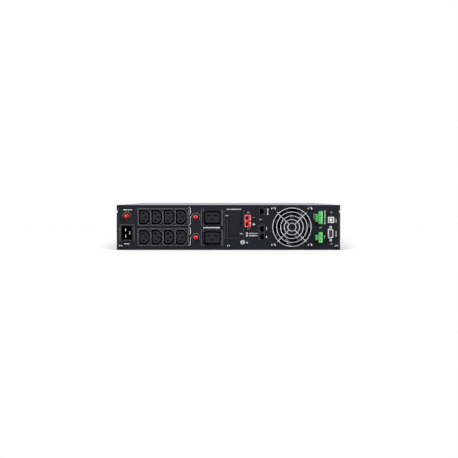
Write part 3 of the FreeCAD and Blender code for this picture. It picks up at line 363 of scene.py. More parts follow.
class Shape:
    """Closed solids collected in one mesh."""

    def __init__(self):
        self.mesh = bmesh.new()

    def block(self, low, high, bevel=0.0, segments=2):
        made = bmesh.ops.create_cube(self.mesh, size=1.0)
        size = [b - a for a, b in zip(low, high)]
        middle = [(a + b) / 2 for a, b in zip(low, high)]
        bmesh.ops.scale(self.mesh, vec=size, verts=made["verts"])
        bmesh.ops.translate(self.mesh, vec=middle, verts=made["verts"])
        if bevel:
            edges = {edge for vert in made["verts"] for edge in vert.link_edges}
            bmesh.ops.bevel(self.mesh, geom=list(edges), offset=bevel, segments=segments, affect="EDGES",
                            profile=0.5)

    def lathe(self, centre, profile, axis="Y", steps=48, phase=0.0, squeeze=None):
        """Turns (radius, height) pairs round an axis through centre. The ends must lie on the axis."""
        turn = {"X": Matrix(((0, 0, 1), (1, 0, 0), (0, 1, 0))), "Y": Matrix(((1, 0, 0), (0, 0, 1), (0, -1, 0))),
                "Z": Matrix.Identity(3)}[axis]
        rings = []
        for radius, height in profile:
            if radius == 0:
                rings.append([self.mesh.verts.new(Vector(centre) + turn @ Vector((0, 0, height)))])
                continue
            ring = []
            for step in range(steps):
                angle = phase + math.tau * step / steps
                reach = radius * (squeeze(step) if squeeze else 1.0)
                spot = Vector((reach * math.cos(angle), reach * math.sin(angle), height))
                ring.append(self.mesh.verts.new(Vector(centre) + turn @ spot))
            rings.append(ring)
        for first, second in zip(rings, rings[1:]):
            for step in range(steps):
                after = (step + 1) % steps
                corners = [first[step % len(first)], first[after % len(first)],
                           second[after % len(second)], second[step % len(second)]]
                unique = list(dict.fromkeys(corners))
                self.mesh.faces.new(unique)

    def prism(self, outline, low_y, high_y, bevel=0.0):
        """Extrudes an outline of (x, z) points along Y."""
        near = [self.mesh.verts.new((x, low_y, z)) for x, z in outline]
        far = [self.mesh.verts.new((x, high_y, z)) for x, z in outline]
        caps = [self.mesh.faces.new(near), self.mesh.faces.new(list(reversed(far)))]
        count = len(outline)
        for index in range(count):
            after = (index + 1) % count
            self.mesh.faces.new((near[index], far[index], far[after], near[after]))
        if bevel:
            bmesh.ops.bevel(self.mesh, geom=list(caps[0].edges), offset=bevel, segments=2, affect="EDGES",
                            profile=0.5)

    def tapered(self, low, high, inset, length):
        """Block whose near end narrows over length by inset: (across, up)."""
        loops = []
        for y, (across, up) in ((low[1], inset), (low[1] + length, (0, 0)), (high[1], (0, 0))):
            corners = rounded_outline((low[0] + across, low[2] + up), (high[0] - across, high[2] - up), 0.3 * MM)
            loops.append([self.mesh.verts.new((x, y, z)) for x, z in corners])
        self.mesh.faces.new(loops[0])
        self.mesh.faces.new(list(reversed(loops[-1])))
        for first, second in zip(loops, loops[1:]):
            for step in range(len(first)):
                after = (step + 1) % len(first)
                self.mesh.faces.new((first[step], first[after], second[after], second[step]))

    def piece(self, name, body, material, slot, replaces=(), smooth=True):
        bmesh.ops.recalc_face_normals(self.mesh, faces=self.mesh.faces)
        data = bpy.data.meshes.new(name)
        self.mesh.to_mesh(data)
        self.mesh.free()
        made = bpy.data.objects.new(name, data)
        bpy.context.scene.collection.objects.link(made)
        data.materials.append(material)
        if smooth:
            data.shade_smooth()
            data.set_sharp_from_angle(angle=math.radians(32))
        return placed(made, body, replaces)


def placed(made, body, replaces=()):
    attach(made, body)
    if replaces:
        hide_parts(*replaces)
    return made


def wires(name, runs, radius, body, material, replaces=()):
    """Round wire along each run: (points, closed)."""
    curve = bpy.data.curves.new(name, "CURVE")
    curve.dimensions = "3D"
    curve.bevel_depth = radius
    curve.bevel_resolution = 5
    curve.use_fill_caps = True
    curve.resolution_u = 6
    for points, closed in runs:
        spline = curve.splines.new("POLY")
        spline.points.add(len(points) - 1)
        for point, spot in zip(spline.points, points):
            point.co = (*spot, 1)
        spline.use_cyclic_u = closed
        spline.use_smooth = True
    made = bpy.data.objects.new(name, curve)
    bpy.context.scene.collection.objects.link(made)
    curve.materials.append(material)
    return placed(made, body, replaces)


def circle(centre, radius, steps=72, start=0.0, sweep=math.tau):
    """Points in the XZ plane round centre."""
    count = steps if sweep == math.tau else steps + 1
    return [(centre[0] + radius * math.cos(start + sweep * i / steps), centre[1],
             centre[2] + radius * math.sin(start + sweep * i / steps)) for i in range(count)]


def rounded_outline(low, high, radius, steps=5):
    """A rectangle in the XZ plane with round corners."""
    points = []
    corners = ((high[0] - radius, high[1] - radius, 0), (low[0] + radius, high[1] - radius, 1),
               (low[0] + radius, low[1] + radius, 2), (high[0] - radius, low[1] + radius, 3))
    for x, z, quarter in corners:
        for step in range(steps + 1):
            angle = math.pi / 2 * (quarter + step / steps)
            points.append((x + radius * math.cos(angle), z + radius * math.sin(angle)))
    return points


def paint(material, *nodes):
    """Gives CAD nodes a material."""
    for node in nodes:
        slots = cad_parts[node].data.materials
        slots.clear()
        slots.append(material)


def soften(width, *nodes):
    """Rounds the sharp edges of CAD nodes where they are drawn."""
    for node in nodes:
        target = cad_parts[node]
        weld = target.modifiers.new("Weld", "WELD")
        weld.merge_threshold = 0.000002
        bevel = target.modifiers.new("Edges", "BEVEL")
        bevel.width = width
        bevel.segments = 2
        bevel.limit_method = "ANGLE"
        bevel.angle_limit = math.radians(40)
        bevel.use_clamp_overlap = True
        bevel.harden_normals = True


def pan_head(shape, box, arms=(0.5, 0.5)):
    """Domed screw head facing the panel's front. arms: how far its recess reaches, of the radius."""
    low, high = box
    centre = ((low[0] + high[0]) / 2, (low[2] + high[2]) / 2)
    radius = (high[0] - low[0]) / 2
    crown = 1.1 * MM
    curve = (radius ** 2 + crown ** 2) / (2 * crown)
    steps = 48

    def ring(reach, y):
        return [shape.mesh.verts.new((centre[0] + reach(turn) * math.cos(turn), y,
                                      centre[1] + reach(turn) * math.sin(turn)))
                for turn in [math.tau * step / steps for step in range(steps)]]

    def recess(turn):
        lobe = arms[0] * math.cos(turn) ** 8 + arms[1] * math.sin(turn) ** 8
        return radius * max(0.12, lobe)

    rings = [ring(lambda turn: recess(turn) * 0.8, low[1] + 1.3 * MM), ring(recess, low[1] + 0.05 * MM)]
    for share in (0.62, 0.75, 0.86, 0.94, 1.0):
        reach = max(radius * share, radius * (max(arms) + 0.04)) if share < 0.7 else radius * share
        drop = curve - math.sqrt(curve ** 2 - reach ** 2)
        rings.append(ring(lambda turn, reach=reach: reach, low[1] + drop))
    rings.append(ring(lambda turn: radius, PANEL_Y + 0.2 * MM))
    shape.mesh.faces.new(rings[0])
    shape.mesh.faces.new(list(reversed(rings[-1])))
    for first, second in zip(rings, rings[1:]):
        for step in range(steps):
            after = (step + 1) % steps
            shape.mesh.faces.new((first[step], first[after], second[after], second[step]))


def screw_heads(name, material, *nodes):
    """Pan heads over the heads of CAD screws, in one piece."""
    heads = Shape()
    for node in nodes:
        for box in islands(node):
            pan_head(heads, box)
    heads.piece(name, "chassis", material, "black_screw", nodes)


def islands(node):
    """Boxes of a node's separate solids, from left to right and then from the top down."""
    mesh = bmesh.new()
    mesh.from_mesh(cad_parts[node].data)
    bmesh.ops.remove_doubles(mesh, verts=mesh.verts, dist=0.000002)
    left = set(mesh.verts)
    boxes = []
    while left:
        group = [left.pop()]
        low = group[0].co.copy()
        high = group[0].co.copy()
        while group:
            vert = group.pop()
            for axis in range(3):
                low[axis] = min(low[axis], vert.co[axis])
                high[axis] = max(high[axis], vert.co[axis])
            for edge in vert.link_edges:
                other = edge.other_vert(vert)
                if other in left:
                    left.remove(other)
                    group.append(other)
        boxes.append((low, high))
    mesh.free()
    return sorted(boxes, key=lambda pair: (round(pair[0][0], 4), -pair[0][2]))


def middle(pair):
    return (pair[0] + pair[1]) / 2


# Case

class BuildCase(bpy.types.Operator):
    """Paint the case and the rack ears, and finish their screws"""
    bl_idname = "ups.build_case"
    bl_label = "Case and ears"

    def execute(self, context):
        colours = context.scene.ups_finish
        coat = shared("case_paint", powder_coat, colours.case, 0.24, 0.5)
        paint(coat, "chassis_base", "top_cover", "front_frame", "rack_ear_left", "rack_ear_right")
        soften(0.06 * MM, "chassis_base", "top_cover")
        soften(0.4 * MM, "rack_ear_left", "rack_ear_right")
        black = shared("black_zinc", plated, (0.24, 0.24, 0.25), 0.16)
        paint(black, "cover_screws", "ear_screws")
        paint(shared("galvanised", zinc_sheet), "bay_wall", "tray_guides")
        return {"FINISHED"}


# Connection panel

class BuildPanel(bpy.types.Operator):
    """Paint the connection panel and the slot cover, and finish their screws"""
    bl_idname = "ups.build_panel"
    bl_label = "Connection panel"

    def execute(self, context):
        colours = context.scene.ups_finish
        coat = shared("panel_paint", powder_coat, colours.panel, 0.46, 0.06)
        paint(coat, "rear_panel", "slot_cover")
        soften(0.4 * MM, "slot_cover")
        black = shared("black_zinc", plated, (0.24, 0.24, 0.25), 0.16)
        screw_heads("panel_screw_heads", black, "rear_panel_screws", "port_screws", "slot_cover_screws",
                    "battery_port_screws")
        self.ground_screw()
        self.bead(coat)
        self.edges()
        return {"FINISHED"}

    def edges(self):
        """Painted highlights: lighter, glossy wires on the panel's side bends, round the slot cover and along its bead,
        where those bends catch the light.
        """
        runs = []
        low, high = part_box("rear_panel")
        for x in (low[0] + 0.9 * MM, high[0] - 0.9 * MM):
            runs.append(([(x, PANEL_Y, low[2] + 2 * MM), (x, PANEL_Y, high[2] - 2 * MM)], False))
        low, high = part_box("slot_cover")
        outline = rounded_outline((low[0] + 0.2 * MM, low[2] + 0.2 * MM), (high[0] - 0.2 * MM, high[2] - 0.2 * MM), 0.5 * MM)
        runs.append(([(x, low[1] + 0.15 * MM, z) for x, z in outline], True))
        x = low[0] + 5.0 * MM
        runs.append(([(x, low[1] + 0.3 * MM, low[2] + 2 * MM), (x, low[1] + 0.3 * MM, high[2] - 16 * MM)], False))
        # Lighter than the panel paint: painted highlight on the bends.
        glint_bends = shared("worn_edge", gloss_moulded, (0.055, 0.055, 0.065), 0.2, 0.3)
        wires("panel_edges", runs, 0.30 * MM, "chassis", glint_bends)

    def ground_screw(self):
        """Slotted head: two bright halves on a dark slot."""
        low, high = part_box("ground_screw")
        x = middle((low[0], high[0]))
        z = middle((low[2], high[2]))
        radius = (high[0] - low[0]) / 2 - 0.3 * MM
        gap = 0.55 * MM
        reach = math.acos(gap / radius)
        halves = Shape()
        for facing in (0, math.pi):
            arc = circle((x, 0, z), radius, 20, facing - reach, 2 * reach)
            halves.prism([(point[0], point[2]) for point in arc], low[1], PANEL_Y + 0.2 * MM, 0.5 * MM)
        slot = Shape()
        slot.block((x - gap, low[1] + 0.8 * MM, z - radius * 0.94), (x + gap, PANEL_Y + 0.2 * MM, z + radius * 0.94))
        bright = shared("screw_nickel", plated, (0.74, 0.74, 0.74), 0.30, (1, 1, 1), 0.5)
        halves.piece("ground_screw_head", "chassis", bright, "bright_steel", ["ground_screw"])
        dark = shared("thread_shadow", plated, (0.02, 0.02, 0.02), 0.5, (1, 1, 1), 0.3)
        slot.piece("ground_screw_slot", "chassis", dark, "black_screw")

    def bead(self, coat):
        """Stiffening bead pressed in the slot cover, beside its left edge."""
        low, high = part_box("slot_cover")
        x = low[0] + 5.0 * MM
        bead = Shape()
        bead.prism(rounded_outline((x - 1.0 * MM, low[2] + 1.0 * MM), (x + 1.0 * MM, high[2] - 15.0 * MM), 0.9 * MM),
                   low[1] + 0.3 * MM, low[1] + 2.4 * MM, 0.6 * MM)
        bead.piece("slot_cover_bead", "chassis", coat, "panel_paint")


class Ink(Shape):
    """Printed marks on the panel. Places are (x, z) pairs in metres."""

    def __init__(self, height):
        super().__init__()
        self.near = PANEL_Y - height
        self.far = PANEL_Y + 0.02 * MM

    def patch(self, low, high):
        self.block((low[0], self.near, low[1]), (high[0], self.far, high[1]))

    def line(self, start, end, width):
        """A straight line, square at its ends."""
        along = Vector((end[0] - start[0], end[1] - start[1])).normalized() * width / 2
        across = Vector((-along[1], along[0]))
        corners = [Vector(start) - along + across, Vector(end) + along + across,
                   Vector(end) + along - across, Vector(start) - along - across]
        self.prism(corners, self.near, self.far)

    def dashes(self, centre, length, rows, upright, seed, tall=1.5 * MM):
        """Rows of short dashes in place of words. upright turns them to run up the panel."""
        draw = random.Random(seed)
        pitch = tall + 0.9 * MM
        for row in range(rows):
            across = (rows - 1) / 2 * pitch - row * pitch
            along = -length / 2
            end = length / 2 - draw.uniform(0.0, 0.15) * length * (row > 0)
            while along < end - 0.6 * MM:
                stop = min(along + draw.uniform(0.6, 1.6) * MM, end)
                half = tall / 2 * draw.uniform(0.62, 1.0)
                if upright:
                    self.patch((centre[0] - across - half, centre[1] + along),
                               (centre[0] - across + half, centre[1] + stop))
                else:
                    self.patch((centre[0] + along, centre[1] + across - half),
                               (centre[0] + stop, centre[1] + across + half))
                along = stop + 0.7 * MM


def beside(box, side, gap, shift=0.0):
    """The (x, z) point gap away from one side of a box, moved by shift along that side."""
    low, high = box
    x = (low[0] + high[0]) / 2
    z = (low[2] + high[2]) / 2
    return {"above": (x + shift, high[2] + gap), "below": (x + shift, low[2] - gap),
            "right": (high[0] + gap, z + shift), "left": (low[0] - gap, z + shift)}[side]


class PrintPanel(bpy.types.Operator):
    """Print the plain marks on the connection panel"""
    bl_idname = "ups.print_panel"
    bl_label = "Panel printing"

    # node, which of its solids, side, gap, shift along the side, length, rows, upright, row height; in millimetres
    MARKS = (
        ("breaker_nuts", 0, "above", 4.4, -3.6, 7.0, 1, False, 2.6),
        ("breaker_nuts", 0, "above", 4.4, 6.2, 9.0, 1, False, 1.7),
        ("inlet_housing", 0, "below", 4.4, 0.2, 10.5, 1, False, 1.9),
        ("large_outlet_cores", 0, "below", 9.3, -1.5, 32.0, 1, False, 2.4),
        ("slot_cover", 0, "above", 2.6, -0.2, 30.0, 1, False, 1.6),
        ("emergency_jack", 0, "right", 3.9, 3.6, 5.0, 1, True, 2.4),
        ("emergency_jack", 0, "right", 3.9, -3.6, 5.0, 1, True, 2.4),
        ("network_jacks", 0, "right", 3.0, 8.2, 5.4, 1, True, 2.0),
        ("network_jacks", 0, "right", 3.0, -8.2, 4.2, 1, True, 2.4),
        ("network_jacks", 0, "left", 9.4, -1.5, 16.5, 1, False, 1.7),
        ("network_jacks", 0, "left", 9.4, -6.0, 16.5, 1, False, 2.0),
        ("terminal_plug_upper", 0, "right", 5.4, 0.6, 26.5, 1, True, 2.3),
        ("terminal_plug_lower", 0, "right", 5.0, 0.4, 7.5, 1, True, 1.9),
        ("usb_port", 0, "right", 4.2, -1.4, 6.4, 1, True, 1.9),
        ("serial_port", 0, "right", 4.8, 0.0, 11.4, 1, True, 1.9),
    )

    def execute(self, context):
        ink = Ink(context.scene.ups_detail.ink_height)
        for seed, (node, index, side, gap, shift, length, rows, upright, tall) in enumerate(self.MARKS):
            centre = beside(islands(node)[index], side, gap * MM, shift * MM)
            ink.dashes(centre, length * MM, rows, upright, seed, tall * MM)
        self.brackets(ink)
        self.signs(ink)
        colour = context.scene.ups_finish.ink
        ink.piece("panel_printing", "chassis", shared("panel_ink", printing_ink, colour), "panel_paint",
                  smooth=False)
        return {"FINISHED"}

    def brackets(self, ink):
        """Beside each bank, a hooked line that runs into a column of dashes."""
        for seed, bank in enumerate(("outlet_bank_upper", "outlet_bank_lower")):
            low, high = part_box(bank)
            x = high[0] + 3.4 * MM
            hook = 1.5 * MM
            top = high[2] + 1.6 * MM
            bottom = low[2] + 3.6 * MM
            fine = 0.6 * MM
            ink.line((x - 2 * hook, top + hook), (x, top - hook), fine)
            ink.line((x, top - hook), (x, top - 12.0 * MM), 0.8 * MM)
            ink.line((x, top - 12.0 * MM), (x - hook, top - 13.5 * MM), fine)
            length = top - 15.5 * MM - bottom
            ink.dashes((x - 0.2 * MM, bottom + length / 2), length, 1, True, 40 + seed, 1.1 * MM)
            ink.line((x, bottom), (x - 2 * hook, bottom - 2 * hook), fine)

    def signs(self, ink):
        """Polarity signs, an earth sign, a wave sign and two crossed signs."""
        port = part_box("battery_port_housing")
        x = port[1][0] + 5.3 * MM
        middle_z = (port[0][2] + port[1][2]) / 2
        ink.line((x - 1.2 * MM, middle_z + 6.6 * MM), (x + 1.2 * MM, middle_z + 6.6 * MM), 0.7 * MM)
        arm = 2.0 * MM
        plus = (x, middle_z - 6.8 * MM)
        ink.line((plus[0] - arm, plus[1]), (plus[0] + arm, plus[1]), 1.5 * MM)
        ink.line((plus[0], plus[1] - arm), (plus[0], plus[1] + arm), 1.5 * MM)
        earth = beside(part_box("ground_screw"), "right", 4.0 * MM)
        for step, half in enumerate((2.0, 1.3, 0.6)):
            z = earth[1] - step * 1.0 * MM
            ink.line((earth[0] - half * MM, z), (earth[0] + half * MM, z), 0.5 * MM)
        ink.line(earth, (earth[0], earth[1] + 1.6 * MM), 0.5 * MM)
        wave = beside(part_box("terminal_plug_upper"), "left", 2.6 * MM, 0.5 * MM)
        for step in range(4):
            z = wave[1] + (step - 1.5) * 2.6 * MM
            lean = 0.9 * MM * (1 if step % 2 else -1)
            ink.line((wave[0] - lean, z), (wave[0] + lean, z + 2.6 * MM), 0.5 * MM)
        for shift in (-1.5 * MM, -6.0 * MM):
            sign = beside(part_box("network_jacks"), "left", 21.5 * MM, shift)
            for lean in (-1, 1):
                ink.line((sign[0] - 1.5 * MM, sign[1] - lean * 1.2 * MM), (sign[0] + 1.5 * MM, sign[1] + lean * 1.2 * MM),
                         0.8 * MM)


# Inlet and outlets

class BuildOutlets(bpy.types.Operator):
    """Finish the inlet and the outlets, and fit the contacts in their slots"""
    bl_idname = "ups.build_outlets"
    bl_label = "Inlet and outlets"

    # offset of each contact slot from the middle of its core, and the slot's half size, in millimetres
    SMALL = (((-2.4, 7.0), (-2.4, -7.0), (2.1, 0.0)), (2.1, 1.1))
    LARGE = (((-7.4, 4.2), (6.3, 4.2), (-0.4, -3.8)), (3.2, 1.2))

    def execute(self, context):
        colours = context.scene.ups_finish
        # Housings and cores get painted shade inside their openings, beyond the socket depth from the panel's face.
        housing = shared("outlet_housing", moulded, colours.housing, 0.30, 2200, 0.08, 0.08, socket=-0.2 * MM)
        core = shared("outlet_core", moulded, colours.core, 0.36, 2200, 0.10, 0.06, socket=-0.8 * MM)
        paint(housing, "inlet_housing", "outlet_bank_upper", "outlet_bank_lower", "large_outlet_housings")
        paint(core, "outlet_cores", "large_outlet_cores")
        soften(0.4 * MM, "outlet_cores", "large_outlet_cores")
        soften(0.5 * MM, "inlet_housing", "outlet_bank_upper", "outlet_bank_lower", "large_outlet_housings")
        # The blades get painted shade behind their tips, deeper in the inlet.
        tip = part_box("inlet_pins")[0][1] - PANEL_Y
        blade = shared("blade_nickel", plated, (0.92, 0.92, 0.91), 0.30, (1, 1, 1), 0.3, tip + 0.9 * MM)
        blades = Shape()
        for low, high in islands("inlet_pins"):
            blades.tapered(low, high, (0.25 * MM, 1.7 * MM), 1.6 * MM)
        blades.piece("inlet_blades", "chassis", blade, "contact", ["inlet_pins"])
        self.contacts("outlet_cores", "outlet_contacts", self.SMALL)
        self.contacts("large_outlet_cores", "large_outlet_contacts", self.LARGE)
        self.latches(housing)
        self.edges()
        return {"FINISHED"}

    def edges(self):
        """Painted highlights: lighter, glossy wires along the edges of the banks, of the wells and of the strips beside
        the large outlets, where those edges catch the light.
        """
        outlines = []
        for bank in ("outlet_bank_upper", "outlet_bank_lower"):
            low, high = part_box(bank)
            rim = 0.3 * MM
            outlines.append((PANEL_Y - 1.1 * MM, rounded_outline((low[0] + rim, low[2] + rim),
                                                                 (high[0] - rim, high[2] - rim), 1.5 * MM)))
        for low, high in islands("outlet_cores"):
            x = middle((low[0], high[0]))
            z = middle((low[2], high[2]))
            wide = 11.3 * MM
            tall = 15.5 * MM
            cut = 7.2 * MM
            outlines.append((PANEL_Y - 2.0 * MM, [
                (x - wide, z - tall + 2 * MM), (x - wide + 2 * MM, z - tall), (x + wide - cut, z - tall),
                (x + wide, z - tall + cut), (x + wide, z + tall - cut), (x + wide - cut, z + tall),
                (x - wide + 2 * MM, z + tall), (x - wide, z + tall - 2 * MM)]))
        for low, high in islands("large_outlet_housings"):
            strip = 5.7 * MM
            for left, right in ((low[0] + 0.3 * MM, low[0] + strip), (high[0] - 3.2 * MM, high[0] - 0.3 * MM)):
                outlines.append((PANEL_Y - 1.3 * MM, rounded_outline((left, low[2] + 0.3 * MM),
                                                                     (right, high[2] - 0.3 * MM), 1.0 * MM)))
        low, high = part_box("inlet_housing")
        for inset in (0.3 * MM, 2.6 * MM):
            outlines.append((PANEL_Y - 1.1 * MM, rounded_outline((low[0] + inset, low[2] + inset),
                                                                 (high[0] - inset, high[2] - inset), 2.0 * MM)))
        runs = [([(x, y, z) for x, z in outline], True) for y, outline in outlines]
        # Far lighter than the housings: painted highlight on the edges.
        glint_rims = shared("polished_edge", gloss_moulded, (0.13, 0.13, 0.14), 0.16, 0.5)
        wires("outlet_edges", runs, 0.36 * MM, "chassis", glint_rims)

    def contacts(self, node, name, pattern):
        """A pair of spring leaves in each slot."""
        offsets, half = pattern
        leaves = Shape()
        for low, high in islands(node):
            x = (low[0] + high[0]) / 2
            z = (low[2] + high[2]) / 2
            for dx, dz in offsets:
                for side in (-1, 1):
                    inner = z + (dz + side * half[1] * 0.38) * MM
                    outer = z + (dz + side * half[1] * 0.92) * MM
                    leaves.block((x + (dx - half[0] * 0.8) * MM, low[1] + 7.5 * MM, min(inner, outer)),
                                 (x + (dx + half[0] * 0.8) * MM, low[1] + 11.5 * MM, max(inner, outer)),
                                 0.15 * MM)
        # Brass darkened as painted shade, deep in the slots.
        brass = shared("contact_brass", plated, (0.30, 0.24, 0.14), 0.30)
        leaves.piece(name, "chassis", brass, "contact")

    def latches(self, housing):
        """Round rivet heads on the left strip of each large outlet."""
        heads = Shape()
        for low, high in islands("large_outlet_housings"):
            x = low[0] + 2.7 * MM
            for z in (low[2] + 3.0 * MM, high[2] - 3.0 * MM):
                top = low[1] + 0.9 * MM
                heads.lathe((x, top, z), [(0, -0.9 * MM), (1.0 * MM, -0.8 * MM), (1.4 * MM, -0.3 * MM),
                                          (1.4 * MM, 0.6 * MM), (0, 0.6 * MM)], steps=28)
        heads.piece("outlet_rivets", "chassis", housing, "outlet_plastic")


# Breakers

class BuildBreakers(bpy.types.Operator):
    """Finish the breakers and shape their reset buttons"""
    bl_idname = "ups.build_breakers"
    bl_label = "Breakers"

    def execute(self, context):
        colours = context.scene.ups_finish
        paint(shared("breaker_case", moulded, (0.012, 0.012, 0.013), 0.4), "breaker_bodies")
        ring = shared("breaker_ring", plated, (0.030, 0.030, 0.033), 0.30, (1, 1, 1), 0.5)
        red = shared("button_red", gloss_moulded, colours.button, 0.16, 0.4)
        self.nuts(ring)
        for name in ("input", "upper", "lower"):
            self.button(name, red)
        return {"FINISHED"}

    def nuts(self, material):
        """Knurled ring nuts, each with a bright washer under it; the washer's light grey is partly painted highlight on
        the nut's rim.
        """
        rings = Shape()
        rims = Shape()
        for low, high in islands("breaker_nuts"):
            centre = ((low[0] + high[0]) / 2, high[1], (low[2] + high[2]) / 2)
            outer = (high[0] - low[0]) / 2
            inner = outer * 0.725
            tall = high[1] - low[1]
            roll = 1.5 * MM
            edge = [(outer - roll + roll * math.sin(turn), -tall + roll - roll * math.cos(turn))
                    for turn in [math.pi / 2 * step / 6 for step in range(7)]]
            profile = [(inner, 0.0), (inner, -tall * 0.86), (inner + 0.5 * MM, -tall)] + edge + [(outer, 0.0)]
            self.ring(rings, centre, profile)
            rim = [(outer - 0.9 * MM, 0.0), (outer - 0.9 * MM, -0.5 * MM), (outer + 0.25 * MM, -0.5 * MM),
                   (outer + 0.45 * MM, -0.3 * MM), (outer + 0.45 * MM, 0.0)]
            self.ring(rims, centre, rim)
        rings.piece("breaker_ring_nuts", "chassis", material, "nut_plastic", ["breaker_nuts"])
        # Steel washer, its light grey also a painted highlight on the rim of the nut.
        washer = shared("washer_steel", plated, (0.50, 0.50, 0.51), 0.34, (1, 1, 1), 0.4)
        rims.piece("breaker_washers", "chassis", washer, "nut_plastic")

    def ring(self, shape, centre, profile, steps=96):
        """Turns a closed profile round Y, with shallow knurls on its outermost points."""
        widest = max(radius for radius, _ in profile)
        loops = []
        for radius, height in profile:
            loop = []
            for step in range(steps):
                angle = math.tau * step / steps
                dent = 0.2 * MM if step % 4 < 2 and radius > widest - 0.1 * MM else 0.0
                loop.append(shape.mesh.verts.new((centre[0] + (radius - dent) * math.cos(angle), centre[1] + height,
                                                  centre[2] + (radius - dent) * math.sin(angle))))
            loops.append(loop)
        for first, second in zip(loops, loops[1:] + loops[:1]):
            for step in range(steps):
                after = (step + 1) % steps
                shape.mesh.faces.new((first[step], first[after], second[after], second[step]))

    def button(self, name, material):
        """A domed cap with a waist inside the bush."""
        node = f"breaker_button_{name}"
        low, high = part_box(node)
        centre = ((low[0] + high[0]) / 2, low[1], (low[2] + high[2]) / 2)
        radius = (high[0] - low[0]) / 2
        long = high[1] - low[1]
        dome = [(radius * math.sin(turn), 2.0 * MM * (1 - math.cos(turn)))
                for turn in [math.pi / 2 * step / 8 for step in range(1, 9)]]
        profile = [(0, 0)] + dome + [(radius, 5.6 * MM), (radius * 0.94, 5.9 * MM), (radius * 0.94, long), (0, long)]
        cap = Shape()
        cap.lathe(centre, profile, steps=64)
        cap.piece(f"{name}_reset_button", node, material, "red_button", [node])


# Fan

